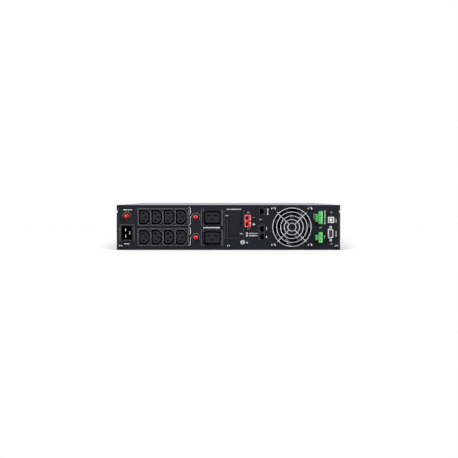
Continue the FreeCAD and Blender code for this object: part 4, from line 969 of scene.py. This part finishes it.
class BuildFan(bpy.types.Operator):
    """Shape the fan's rotor and guard, and finish its frame and screws"""
    bl_idname = "ups.build_fan"
    bl_label = "Fan"

    def execute(self, context):
        detail = context.scene.ups_detail
        plastic = shared("fan_plastic", moulded, (0.010, 0.010, 0.013), 0.34, 1800, 0.10, 0.5)
        paint(plastic, "fan_frame")
        soften(0.3 * MM, "fan_frame")
        black = shared("black_zinc", plated, (0.24, 0.24, 0.25), 0.16)
        screw_heads("fan_screw_heads", black, "fan_screws")
        self.rotor(plastic, detail.blades)
        self.guard(detail.wire / 2)
        return {"FINISHED"}

    def rotor(self, plastic, count):
        """Hub with swept, cambered blades."""
        low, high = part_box("fan_rotor")
        frame_low, frame_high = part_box("fan_frame")
        x = (frame_low[0] + frame_high[0]) / 2
        z = (frame_low[2] + frame_high[2]) / 2
        tip = 36.6 * MM
        hub = 17.0 * MM
        front = low[1]
        back = frame_high[1] - 4.2 * MM
        rotor = Shape()
        rotor.lathe((x, front, z), [(0, 0.3 * MM), (hub * 0.5, 0.3 * MM), (hub * 0.53, 0.0), (hub * 0.9, 0.0),
                                    (hub * 0.97, 0.5 * MM), (hub, 1.4 * MM), (hub, back - front),
                                    (1.5 * MM, back - front), (1.5 * MM, back - front + 3.0 * MM),
                                    (0, back - front + 3.0 * MM)], steps=72)
        spans, chords = 9, 9
        for blade in range(count):
            sheets = []
            for side in (-1, 1):
                rows = []
                for i in range(spans):
                    s = i / (spans - 1)
                    radius = hub - 0.6 * MM + (tip - hub + 0.6 * MM) * s
                    sweep = 0.34 * s * s
                    width = 0.74 - 0.16 * s
                    row = []
                    for j in range(chords):
                        c = j / (chords - 1)
                        angle = math.tau * blade / count + sweep + width * (c - 0.5)
                        camber = (1 - (2 * c - 1) ** 2) * 2.2 * MM
                        depth = front + 1.6 * MM + (back - front - 3.4 * MM) * c - camber
                        thick = 0.75 * MM * math.sqrt(max(0.02, 1 - (2 * c - 1) ** 2)) * (1.0 - 0.45 * s)
                        row.append(rotor.mesh.verts.new((x + radius * math.cos(angle), depth + side * thick,
                                                         z + radius * math.sin(angle))))
                    rows.append(row)
                sheets.append(rows)
            self.close(rotor.mesh, sheets)
        rotor.piece("fan_rotor_blades", "fan_rotor", plastic, "fan_plastic", ["fan_rotor"])

    def close(self, mesh, sheets):
        """Joins the two faces of a blade into one closed skin."""
        first, second = sheets
        spans, chords = len(first), len(first[0])
        for rows in sheets:
            for i in range(spans - 1):
                for j in range(chords - 1):
                    mesh.faces.new((rows[i][j], rows[i][j + 1], rows[i + 1][j + 1], rows[i + 1][j]))
        for i in range(spans - 1):
            for j in (0, chords - 1):
                mesh.faces.new((first[i][j], first[i + 1][j], second[i + 1][j], second[i][j]))
        for j in range(chords - 1):
            for i in (0, spans - 1):
                mesh.faces.new((first[i][j], first[i][j + 1], second[i][j + 1], second[i][j]))

    def guard(self, radius):
        """Rings on four spokes, each ending in an eye under a screw."""
        low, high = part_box("fan_guard")
        frame_low, frame_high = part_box("fan_frame")
        x = (frame_low[0] + frame_high[0]) / 2
        z = (frame_low[2] + frame_high[2]) / 2
        ring_y = low[1] + radius
        spoke_y = ring_y + 1.75 * radius
        eye_y = PANEL_Y - radius
        screws = islands("fan_screws")
        half = (middle((screws[-1][0][0], screws[-1][1][0])) - middle((screws[0][0][0], screws[0][1][0]))) / 2
        corner = half * math.sqrt(2)
        eye = 2.8 * MM
        knee = corner - 12.0 * MM
        runs = [(circle((x, ring_y, z), ring, 96), True) for ring in
                (37.5 * MM, 29.8 * MM, 22.2 * MM, 15.0 * MM, 7.9 * MM)]
        eyes = []
        for quarter in range(4):
            angle = math.pi / 4 + math.pi / 2 * quarter
            along = Vector((math.cos(angle), 0, math.sin(angle)))
            centre = Vector((x, 0, z))
            straight = [centre + along * reach + Vector((0, spoke_y, 0))
                        for reach in (7.2 * MM, 20 * MM, 30 * MM, knee)]
            tip = 3
            bend = []
            for step in range(1, 9):
                t = step / 8
                ease = t * t * (3 - 2 * t)
                bend.append(centre + along * (knee + t * (corner - eye - 3.0 * MM - knee))
                            + Vector((0, spoke_y + (eye_y - spoke_y) * ease, 0)))
            loop_centre = centre + along * corner + Vector((0, eye_y, 0))
            loop = circle(loop_centre, eye, 28, angle + math.pi, math.tau * 0.94)
            runs.append((straight + bend[:tip], False))
            eyes.append((bend[tip - 1:] + [Vector(point) for point in loop[1:]], False))
        steel = shared("bright_wire", plated, (0.74, 0.74, 0.76), 0.30, (1, 1, 1), 0.5)
        wires("fan_guard_wires", runs, radius, "chassis", steel, ["fan_guard"])
        # The eyes and the last bend of each spoke are the same wire as the rings, coloured near black as painted shade
        # under the screw heads.
        eye_shade = shared("dipped_wire", plated, (0.03, 0.03, 0.032), 0.40, (1, 1, 1), 0.3)
        wires("fan_guard_eyes", eyes, radius * 1.04, "chassis", eye_shade)


# Ports

class BuildPorts(bpy.types.Operator):
    """Finish the jacks and ports, and fit their contacts"""
    bl_idname = "ups.build_ports"
    bl_label = "Jacks and ports"

    def execute(self, context):
        # The jacks get painted shade inside their openings, beyond 0.2 mm behind the panel's face.
        jack = shared("jack_plastic", moulded, (0.028, 0.028, 0.031), 0.36, 2000, 0.08, 0.15, 0.2 * MM)
        shell = shared("tinned_shell", plated, (0.95, 0.95, 0.95), 0.36, (1, 1, 1), 0.2)
        paint(jack, "emergency_jack", "network_jacks")
        soften(0.2 * MM, "emergency_jack", "network_jacks")
        paint(shell, "usb_port", "serial_port")
        paint(shared("nickel_plate", plated, (0.90, 0.90, 0.89), 0.34, (1, 1, 1), 0.3), "serial_standoffs")
        gold = shared("gold_plate", plated, (0.90, 0.66, 0.28), 0.20)
        self.jack_springs(gold)
        self.square_port(gold)
        self.serial_face(gold)
        self.bores()
        return {"FINISHED"}

    def bores(self):
        """Dark threads in the two jack screws beside the nine-pin port."""
        threads = Shape()
        for low, high in islands("serial_standoffs"):
            centre = ((low[0] + high[0]) / 2, low[1] + 0.35 * MM, (low[2] + high[2]) / 2)
            ridges = [(1.36 * MM if turn % 2 else 1.22 * MM, turn * 0.25 * MM) for turn in range(13)]
            threads.lathe(centre, [(0, 3.0 * MM)] + ridges[::-1] + [(1.4 * MM, 0), (1.4 * MM, 3.2 * MM), (0, 3.2 * MM)],
                          steps=28)
        threads.piece("jack_screw_threads", "chassis",
                      shared("thread_shadow", plated, (0.02, 0.02, 0.02), 0.5, (1, 1, 1), 0.3), "jack_plastic")

    def jack_springs(self, gold):
        """Rows of sprung wires in the two network jacks and the power-off jack."""
        runs = []
        low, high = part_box("network_jacks")
        for z in (high[2] - 7.9 * MM, low[2] + 7.3 * MM):
            runs += self.springs(low[0] + 11.45 * MM, -1, low[1], z, 8, 1.05 * MM)
        low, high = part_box("emergency_jack")
        runs += self.springs(low[0] + 2.25 * MM, 1, low[1], (low[2] + high[2]) / 2, 6, 1.05 * MM)
        wires("jack_contacts", runs, 0.26 * MM, "chassis", gold)

    def springs(self, wall, side, mouth, z, count, pitch):
        runs = []
        for index in range(count):
            at = z + (index - (count - 1) / 2) * pitch
            path = ((0.4, 2.2), (1.0, 3.2), (2.9, 9.0), (3.3, 13.5))
            runs.append(([(wall + side * reach * MM, mouth + deep * MM, at) for reach, deep in path], False))
        return runs

    def square_port(self, gold):
        """Pale insert with its four contacts."""
        low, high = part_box("usb_port")
        x = (low[0] + high[0]) / 2 - 0.2 * MM
        z = (low[2] + high[2]) / 2 + 0.4 * MM
        insert = Shape()
        insert.block((x - 1.8 * MM, PANEL_Y - 0.2 * MM, z - 2.5 * MM), (x + 1.8 * MM, PANEL_Y + 11.0 * MM, z + 2.5 * MM),
                     0.4 * MM)
        pale = shared("port_insert", moulded, (0.80, 0.80, 0.79), 0.4)
        insert.piece("square_port_insert", "chassis", pale, "jack_plastic")
        strips = Shape()
        for side in (-1, 1):
            for dz in (-1.25 * MM, 1.25 * MM):
                strips.block((x + side * 1.9 * MM - 0.15 * MM, PANEL_Y + 0.8 * MM, z + dz - 0.5 * MM),
                             (x + side * 1.9 * MM + 0.15 * MM, PANEL_Y + 9.0 * MM, z + dz + 0.5 * MM), 0.05 * MM)
        strips.piece("square_port_contacts", "chassis", gold, "contact")

    def serial_face(self, gold):
        """Dark insulator in the slanted shell, with nine sockets."""
        low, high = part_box("serial_port")
        x = (low[0] + high[0]) / 2
        z = (low[2] + high[2]) / 2
        wide = 3.8 * MM
        floor = low[1] + 2.4 * MM
        outline = [(x - wide, z - 8.3 * MM), (x + wide, z - 6.5 * MM), (x + wide, z + 6.5 * MM), (x - wide, z + 8.3 * MM)]
        face = Shape()
        face.prism(outline, floor - 0.2 * MM, floor + 0.3 * MM, 0.12 * MM)
        dark = shared("insulator", moulded, (0.045, 0.045, 0.050), 0.42)
        face.piece("serial_insulator", "chassis", dark, "jack_plastic")
        sockets = Shape()
        for column, count in ((-1.4, 5), (1.4, 4)):
            for index in range(count):
                at = z + (index - (count - 1) / 2) * 2.77 * MM
                sockets.lathe((x + column * MM, floor - 0.25 * MM, at),
                              [(0, 0.12 * MM), (0.35 * MM, 0.10 * MM), (0.42 * MM, -0.04 * MM), (0.62 * MM, -0.04 * MM),
                               (0.68 * MM, 0.12 * MM), (0, 0.14 * MM)], steps=20)
        sockets.piece("serial_sockets", "chassis", gold, "contact")


# Terminals and battery connector

class BuildTerminals(bpy.types.Operator):
    """Finish the pluggable terminals and fit their clamps and screws"""
    bl_idname = "ups.build_terminals"
    bl_label = "Pluggable terminals"

    def execute(self, context):
        colours = context.scene.ups_finish
        green = shared("terminal_green", moulded, colours.terminal, 0.34, 1800, 0.08, 0.5)
        paint(green, "terminal_headers", "terminal_plug_upper", "terminal_plug_lower")
        soften(0.25 * MM, "terminal_plug_upper", "terminal_plug_lower")
        bright = shared("nickel_plate", plated, (0.90, 0.90, 0.89), 0.34, (1, 1, 1), 0.3)
        pale = shared("terminal_pale", moulded, scaled(colours.terminal, 2.2), 0.36)
        for name, poles in (("upper", 5), ("lower", 4)):
            self.fittings(name, poles, bright, pale)
        return {"FINISHED"}

    def fittings(self, name, poles, bright, pale):
        node = f"terminal_plug_{name}"
        low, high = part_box(node)
        pitch = (high[2] - low[2] - 1.0 * MM) / poles
        step_x = low[0] + 6.1 * MM
        screws = Shape()
        strip = Shape()
        for index in range(poles):
            z = low[2] + 0.5 * MM + pitch * (index + 0.5)
            top = low[1] + 1.1 * MM
            screws.lathe((step_x + 1.6 * MM, top, z),
                         [(0, 0), (0.8 * MM, 0), (1.15 * MM, 0.3 * MM), (1.15 * MM, 2.4 * MM), (0, 2.4 * MM)], steps=28)
            screws.block((high[0] - 3.9 * MM, low[1] + 1.6 * MM, z - 1.0 * MM),
                         (high[0] - 2.3 * MM, low[1] + 2.0 * MM, z + 1.0 * MM), 0.1 * MM)
        for z in [low[2] + 0.25 * MM + pitch * index for index in range(poles + 1)]:
            strip.block((high[0] - 4.2 * MM, low[1] - 0.25 * MM, z), (high[0] - 0.4 * MM, low[1] + 0.3 * MM, z + 0.5 * MM),
                        0.12 * MM)
        strip.block((high[0] - 2.1 * MM, low[1] - 0.35 * MM, low[2] + 0.4 * MM),
                    (high[0] - 0.3 * MM, low[1] + 0.3 * MM, high[2] - 0.4 * MM), 0.15 * MM)
        screws.piece(f"{name}_terminal_screws", node, bright, "green_plastic")
        strip.piece(f"{name}_terminal_ribs", node, pale, "green_plastic")


class BuildBatteryPort(bpy.types.Operator):
    """Finish the battery connector"""
    bl_idname = "ups.build_battery_port"
    bl_label = "Battery connector"

    def execute(self, context):
        colours = context.scene.ups_finish
        # The connector's plastic gets painted shade inside its openings, beyond 0.2 mm behind the panel's face.
        paint(shared("connector_red", moulded, colours.battery_port, 0.36, 1700, 0.08, 0.5, 0.2 * MM),
              "battery_port_housing")
        soften(0.2 * MM, "battery_port_housing")
        low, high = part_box("battery_port_housing")
        z = middle((low[2], high[2]))
        y = (low[1] - 0.25 * MM, low[1] + 0.5 * MM)
        bars = Shape()
        gaps = Shape()
        for side in (-1, 1):
            ends = sorted((z + side * 1.4 * MM, z + side * 5.4 * MM))
            bars.block((high[0] - 2.7 * MM, y[0], ends[0]), (high[0] - 0.9 * MM, y[1], ends[1]), 0.2 * MM)
            at = z + side * 6.1 * MM
            gaps.block((high[0] - 2.0 * MM, low[1] - 0.05 * MM, at - 0.35 * MM), (high[0] - 0.1 * MM, y[1], at + 0.35 * MM))
        gaps.block((high[0] - 2.8 * MM, low[1] - 0.3 * MM, z - 1.1 * MM), (high[0] - 0.1 * MM, y[1], z + 1.1 * MM))
        # Pale red: painted highlight on the raised bars and on the rim, where their edges catch the light.
        pale = shared("connector_pale", moulded, (0.80, 0.30, 0.30), 0.34, 1700, 0.08, 0.5)
        bars.piece("battery_port_bars", "chassis", pale, "red_housing")
        outline = rounded_outline((low[0] + 0.7 * MM, low[2] + 0.7 * MM), (high[0] - 0.7 * MM, high[2] - 0.7 * MM), 1.0 * MM)
        wires("battery_port_rim", [([(x, low[1], z) for x, z in outline], True)], 0.3 * MM, "chassis", pale)
        # Near-black blocks in the gaps: painted shade where the connector opens deep.
        dark = shared("connector_gap", moulded, (0.010, 0.004, 0.005), 0.6)
        gaps.piece("battery_port_gaps", "chassis", dark, "red_housing")
        paint(shared("plated_brass", plated, (0.80, 0.70, 0.46), 0.24), "battery_port_contacts")
        return {"FINISHED"}


# Front

class BuildFront(bpy.types.Operator):
    """Finish the bezel, and fit its dust filters, the display and its lamps"""
    bl_idname = "ups.build_front"
    bl_label = "Front bezel and display"

    KEYS = ("power_key", "up_key", "down_key", "enter_key")

    def execute(self, context):
        colours = context.scene.ups_finish
        bezel = shared("bezel_plastic", moulded, colours.bezel, 0.44, 1500, 0.18)
        paint(bezel, "front_bezel", "battery_bezel")
        soften(0.35 * MM, "front_bezel", "battery_bezel")
        gloss = shared("display_gloss", gloss_moulded, (0.008, 0.008, 0.009), 0.14, 0.6)
        paint(gloss, "display_housing")
        soften(0.3 * MM, "display_housing")
        rubber = shared("key_rubber", moulded, (0.055, 0.055, 0.058), 0.55, 2400, 0.1)
        paint(rubber, *self.KEYS)
        self.filters()
        self.screen(colours.accent)
        self.key_signs()
        self.trim()
        return {"FINISHED"}

    def filters(self):
        """Foam behind the louvres of both halves."""
        dust = shared("dust_filter", foam)
        for node, body, inset in (("front_bezel", "chassis", 100 * MM), ("battery_bezel", "battery_drawer", 4 * MM)):
            low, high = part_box(node)
            pad = Shape()
            top = high[2] - 4 * MM
            if body == "chassis":
                pad.block((low[0] + inset, high[1] - 9.0 * MM, low[2] + 6 * MM), (high[0] - 4 * MM, high[1] - 4.0 * MM, top),
                          0.6 * MM)
            else:
                cup_left = low[0] + (86.0 - 7.3) * MM
                cup_right = low[0] + (140.0 - 7.3) * MM
                cup_top = low[2] + 26.2 * MM
                y = (high[1] - 9.0 * MM, high[1] - 4.0 * MM)
                pad.block((low[0] + inset, y[0], low[2] + 6 * MM), (cup_left - 0.3 * MM, y[1], top), 0.6 * MM)
                pad.block((cup_right + 0.3 * MM, y[0], low[2] + 6 * MM), (high[0] - 4 * MM, y[1], top), 0.6 * MM)
                pad.block((cup_left - 0.3 * MM, y[0], cup_top + 0.3 * MM), (cup_right + 0.3 * MM, y[1], top), 0.6 * MM)
            pad.piece(f"{node}_filter", body, dust, "bezel_plastic")

    def screen(self, colour):
        """Lit panel, its bar graphs and battery sign, and the lens over them."""
        low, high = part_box("display_window")
        y = high[1]
        panel = Shape()
        panel.block((low[0] + 0.6 * MM, y - 1.6 * MM, low[2] + 0.6 * MM), (high[0] - 0.6 * MM, y - 1.3 * MM, high[2] - 0.6 * MM))
        panel.piece("display_screen", "display", shared("lit_screen", lit_screen, colour), "window")
        marks = Shape()
        x_mid = (low[0] + high[0]) / 2
        z_mid = (low[2] + high[2]) / 2
        front = y - 1.25 * MM
        for column in (-1, 1):
            for step in range(5):
                left = x_mid + column * 14.5 * MM - 2.6 * MM
                z = z_mid - 6.0 * MM + step * 2.6 * MM
                if step < (4 if column < 0 else 3):
                    marks.block((left, front, z), (left + 5.2 * MM, front + 0.08 * MM, z + 1.7 * MM))
        shell = rounded_outline((x_mid - 6.0 * MM, z_mid - 3.4 * MM), (x_mid + 6.0 * MM, z_mid + 3.4 * MM), 0.8 * MM)
        for start, end in zip(shell, shell[1:] + shell[:1]):
            marks.block((min(start[0], end[0]) - 0.2 * MM, front, min(start[1], end[1]) - 0.2 * MM),
                        (max(start[0], end[0]) + 0.2 * MM, front + 0.08 * MM, max(start[1], end[1]) + 0.2 * MM))
        for cell in range(3):
            left = x_mid - 5.0 * MM + cell * 3.5 * MM
            marks.block((left, front, z_mid - 2.4 * MM), (left + 2.7 * MM, front + 0.08 * MM, z_mid + 2.4 * MM))
        marks.block((x_mid - 7.3 * MM, front, z_mid - 1.3 * MM), (x_mid - 6.4 * MM, front + 0.08 * MM, z_mid + 1.3 * MM))
        lit = shared("screen_marks", lamp, scaled(colour, 1.5), 1.6)
        marks.piece("display_marks", "display", lit, "window", smooth=False)
        lens = Shape()
        outline = rounded_outline((low[0], low[2]), (high[0], high[2]), 0.6 * MM)
        lens.prism(outline, y - 0.8 * MM, y, 0.15 * MM)
        lens.piece("display_lens", "display", shared("smoked_lens", smoked_glass), "window", ["display_window"])

    def key_signs(self):
        """A power sign, two arrows and a return dot on the keys."""
        signs = Shape()
        pale = shared("key_sign", printing_ink, (0.62, 0.62, 0.62))
        for key in self.KEYS:
            low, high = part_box(key)
            x = (low[0] + high[0]) / 2
            z = (low[2] + high[2]) / 2
            y = (high[1] - 0.03 * MM, high[1] + 0.06 * MM)
            sign = Shape()
            if key == "power_key":
                for step in range(20):
                    angle = math.radians(120 + step * 300 / 19)
                    at = (x + 1.25 * MM * math.cos(angle), z + 1.25 * MM * math.sin(angle))
                    sign.block((at[0] - 0.19 * MM, y[0], at[1] - 0.19 * MM), (at[0] + 0.19 * MM, y[1], at[1] + 0.19 * MM))
                sign.block((x - 0.17 * MM, y[0], z + 0.2 * MM), (x + 0.17 * MM, y[1], z + 1.6 * MM))
            elif key == "enter_key":
                sign.lathe((x, y[0], z), [(0, 0), (0.75 * MM, 0), (0.75 * MM, 0.09 * MM), (0, 0.09 * MM)], steps=24)
            else:
                tip = 1 if key == "up_key" else -1
                sign.prism([(x - 1.1 * MM, z - tip * 0.7 * MM), (x + 1.1 * MM, z - tip * 0.7 * MM), (x, z + tip * 1.0 * MM)],
                           y[0], y[1])
            sign.piece(f"{key}_sign", key, pale, "key", smooth=False)
        signs.mesh.free()

    def trim(self):
        """A thin bright band round the display's seat and a status lamp over the drawer's pull."""
        low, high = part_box("display_housing")
        centre = ((low[0] + high[0]) / 2, FRONT_Y + 0.15 * MM, (low[2] + high[2]) / 2)
        steel = shared("bezel_band", plated, (0.42, 0.42, 0.43), 0.28)
        wires("display_band", [(circle(centre, (high[0] - low[0]) / 2 + 1.4 * MM, 96), True)], 0.45 * MM, "chassis",
              steel)
        glow = shared("status_lamp", lamp, (0.10, 0.9, 0.25), 1.2)
        lamps = Shape()
        for index in range(3):
            lamps.lathe(((low[0] + high[0]) / 2 + (index - 1) * 6 * MM, high[1] - 0.1 * MM, high[2] - 5.2 * MM),
                        [(0, -0.2 * MM), (1.0 * MM, -0.2 * MM), (1.0 * MM, 0.15 * MM), (0.7 * MM, 0.38 * MM), (0, 0.45 * MM)],
                        steps=24)
        lamps.piece("display_lamps", "display", glow, "display_gloss")


# Inside

class BuildInside(bpy.types.Operator):
    """Finish what lies inside the case and in the battery drawer"""
    bl_idname = "ups.build_inside"
    bl_label = "Electronics and battery drawer"

    def execute(self, context):
        paint(shared("circuit_board", circuit_board), "power_board", "filter_board", "comm_board")
        paint(shared("nickel_plate", plated, (0.90, 0.90, 0.89), 0.34, (1, 1, 1), 0.3), "board_posts")
        paint(shared("extruded_aluminium", plated, (0.72, 0.72, 0.73), 0.30, (1, 0.02, 1)), "heat_sinks")
        paint(shared("sleeve", gloss_moulded, (0.010, 0.014, 0.045), 0.25, 0.3), "capacitors")
        paint(shared("copper_winding", wound_copper), "inductors")
        paint(shared("galvanised", zinc_sheet), "battery_tray")
        paint(shared("plug_grey", moulded, (0.22, 0.22, 0.225), 0.45), "battery_lead_plug")
        soften(0.4 * MM, "battery_tray", "battery_lead_plug")
        self.batteries()
        return {"FINISHED"}

    def batteries(self):
        """Cases with a lid seam and ribs, flat terminals, and the links between blocks."""
        cases = Shape()
        lids = Shape()
        tabs = Shape()
        links = Shape()
        boxes = islands("battery_blocks")
        for low, high in boxes:
            seam = high[1] - 14 * MM
            cases.block(low, (high[0], seam - 0.5 * MM, high[2]), 1.6 * MM, 3)
            cases.block((low[0] + 1 * MM, seam - 0.6 * MM, low[2] + 1 * MM), (high[0] - 1 * MM, seam + 0.6 * MM, high[2] - 1 * MM))
            lids.block((low[0], seam + 0.5 * MM, low[2]), (high[0], high[1] - 0.6 * MM, high[2]), 1.6 * MM, 3)
            for index in range(5):
                x = low[0] + (16 + index * 15.5) * MM
                lids.block((x - 0.8 * MM, seam + 2 * MM, high[2] - 0.2 * MM), (x + 0.8 * MM, high[1] - 3 * MM, high[2] + 0.3 * MM),
                           0.2 * MM)
            for x in (low[0] + 14 * MM, high[0] - 14 * MM):
                tabs.block((x - 3.1 * MM, seam + 4 * MM, high[2] - 0.4 * MM), (x + 3.1 * MM, seam + 10 * MM, high[2] + 0.45 * MM),
                           0.2 * MM)
        for first, second in zip(boxes[:3], boxes[1:3]):
            upper = max(first[1][2], second[1][2])
            x = first[0][0] + 14 * MM
            ends = sorted((middle((first[0][1], first[1][1])) + 60 * MM, middle((second[0][1], second[1][1])) + 60 * MM))
            links.block((x - 2.2 * MM, ends[0], upper + 0.5 * MM), (x + 2.2 * MM, ends[1], upper + 0.5 * MM + 1.2 * MM), 0.4 * MM)
        case = shared("battery_case", moulded, (0.045, 0.047, 0.050), 0.42, 900, 0.15)
        lid = shared("battery_lid", moulded, (0.028, 0.029, 0.031), 0.42, 900, 0.15)
        cases.piece("battery_cases", "battery_drawer", case, "battery_case", ["battery_blocks"])
        lids.piece("battery_lids", "battery_drawer", lid, "battery_case")
        tabs.piece("battery_tabs", "battery_drawer", shared("plated_brass", plated, (0.80, 0.70, 0.46), 0.24), "contact")
        red = shared("link_red", moulded, (0.7, 0.075, 0.085), 0.36)
        links.piece("battery_links", "battery_drawer", red, "battery_case")


# Stage

class BuildStage(bpy.types.Operator):
    """Lay the floor, and set the light and the camera"""
    bl_idname = "ups.build_stage"
    bl_label = "Floor, light and camera"

    # name, place, aim, size, power, and whether glossy surfaces reflect it
    SOFT_BOXES = (
        ("left_box", (-1.7, -1.5, 0.55), (0, -0.3, 0.05), (1.4, 1.8), 34.0, True),
        ("right_box", (1.7, -1.5, 0.55), (0, -0.3, 0.05), (1.4, 1.8), 34.0, True),
        ("top_box", (0, 0.1, 2.2), (0, 0.0, 0), (2.4, 2.4), 34.0, False),
        ("front_box", (0, -2.5, 1.3), (0, -0.3, 0.05), (2.4, 0.9), 40.0, False),
    )

    def execute(self, context):
        self.floor()
        self.light(context.scene)
        self.camera(context.scene)
        return {"FINISHED"}

    def floor(self):
        data = bpy.data.meshes.new("floor")
        reach = 2.0
        z = RESTING_Z - 0.1 * MM
        data.from_pydata([(-reach, -reach, z), (reach, -reach, z), (reach, reach, z), (-reach, reach, z)], [], [(0, 1, 2, 3)])
        plane = bpy.data.objects.new("floor", data)
        bpy.context.scene.collection.objects.link(plane)
        r = Recipe("white_sweep")
        tone = r.blend(r.noise(2.0, 2.0), (0.63, 0.63, 0.63), (0.65, 0.65, 0.65))
        reach_out = r.node("ShaderNodeVectorMath", {"operation": "ABSOLUTE"}, {0: r.place()})
        reach_out = r.node("ShaderNodeVectorMath", {"operation": "SUBTRACT"}, {0: reach_out, 1: (0.22, 0.33, 0)})
        reach_out = r.node("ShaderNodeVectorMath", {"operation": "MAXIMUM"}, {0: reach_out, 1: (0, 0, 0)})
        away = r.node("ShaderNodeVectorMath", {"operation": "LENGTH"}, {0: reach_out}, "Value")
        data.materials.append(r.finish(Base_Color=tone, Roughness=0.9, Specular_IOR_Level=0.0,
                                       Alpha=1 - r.spread(away, 0.10, 0.60)))
        plane.visible_glossy = False
        plane.visible_diffuse = False

    def light(self, scene):
        """A white room that is dark in front of the panel, a soft box on each side and one overhead."""
        world = bpy.data.worlds.new("studio")
        world.use_nodes = True
        room = Graph(world.node_tree)
        way = room.node("ShaderNodeTexCoord", output="Generated")
        behind = room.spread(room.split(way, 1), -0.15, 0.35)
        above = room.spread(room.split(way, 2), 0.25, 0.75)
        glow = 0.07 + behind * 0.95 + above * 0.50
        seen = room.node("ShaderNodeLightPath", output="Is Camera Ray")
        room.feed(world.node_tree.nodes["Background"].inputs["Color"], room.blend(seen, glow, (1, 1, 1)))
        scene.world = world
        for name, place, aim, size, power, reflected in self.SOFT_BOXES:
            data = bpy.data.lights.new(name, "AREA")
            data.shape = "RECTANGLE"
            data.size, data.size_y = size
            data.energy = power
            box = bpy.data.objects.new(name, data)
            box.location = place
            box.visible_glossy = reflected
            box.rotation_euler = (Vector(aim) - Vector(place)).to_track_quat("-Z", "Y").to_euler()
            scene.collection.objects.link(box)
        scene.view_settings.view_transform = "Standard"

    def camera(self, scene):
        detail = scene.ups_detail
        data = bpy.data.cameras.new("camera")
        data.lens = detail.lens
        data.sensor_width = 36.0
        data.clip_end = 60.0
        camera = bpy.data.objects.new("camera", data)
        camera.location = (1.1 * MM, PANEL_Y - detail.camera_distance, detail.camera_height)
        camera.rotation_euler = (math.pi / 2 - detail.camera_pitch, 0, 0)
        scene.collection.objects.link(camera)
        scene.camera = camera


class PowerSupplyPanel(bpy.types.Panel):
    """Lists the operators and the settings"""
    bl_idname = "UPS_PT_build"
    bl_label = "Rack power supply"
    bl_space_type = "VIEW_3D"
    bl_region_type = "UI"
    bl_category = "Power supply"

    def draw(self, context):
        for operator in OPERATORS:
            self.layout.operator(operator.bl_idname)
        for group in (context.scene.ups_finish, context.scene.ups_detail):
            for name in group.bl_rna.properties.keys():
                if name not in ("rna_type", "name"):
                    self.layout.prop(group, name)


OPERATORS = (BuildStage, BuildCase, BuildPanel, PrintPanel, BuildOutlets, BuildBreakers, BuildFan, BuildPorts,
             BuildTerminals, BuildBatteryPort, BuildFront, BuildInside)
CLASSES = (FinishSettings, DetailSettings, *OPERATORS, PowerSupplyPanel)


def register():
    for cls in CLASSES:
        bpy.utils.register_class(cls)
    bpy.types.Scene.ups_finish = bpy.props.PointerProperty(type=FinishSettings)
    bpy.types.Scene.ups_detail = bpy.props.PointerProperty(type=DetailSettings)


def unregister():
    del bpy.types.Scene.ups_detail
    del bpy.types.Scene.ups_finish
    for cls in reversed(CLASSES):
        bpy.utils.unregister_class(cls)


def main():
    register()
    for operator in OPERATORS:
        group, name = operator.bl_idname.split(".")
        getattr(getattr(bpy.ops, group), name)()


if __name__ == "__main__":
    main()
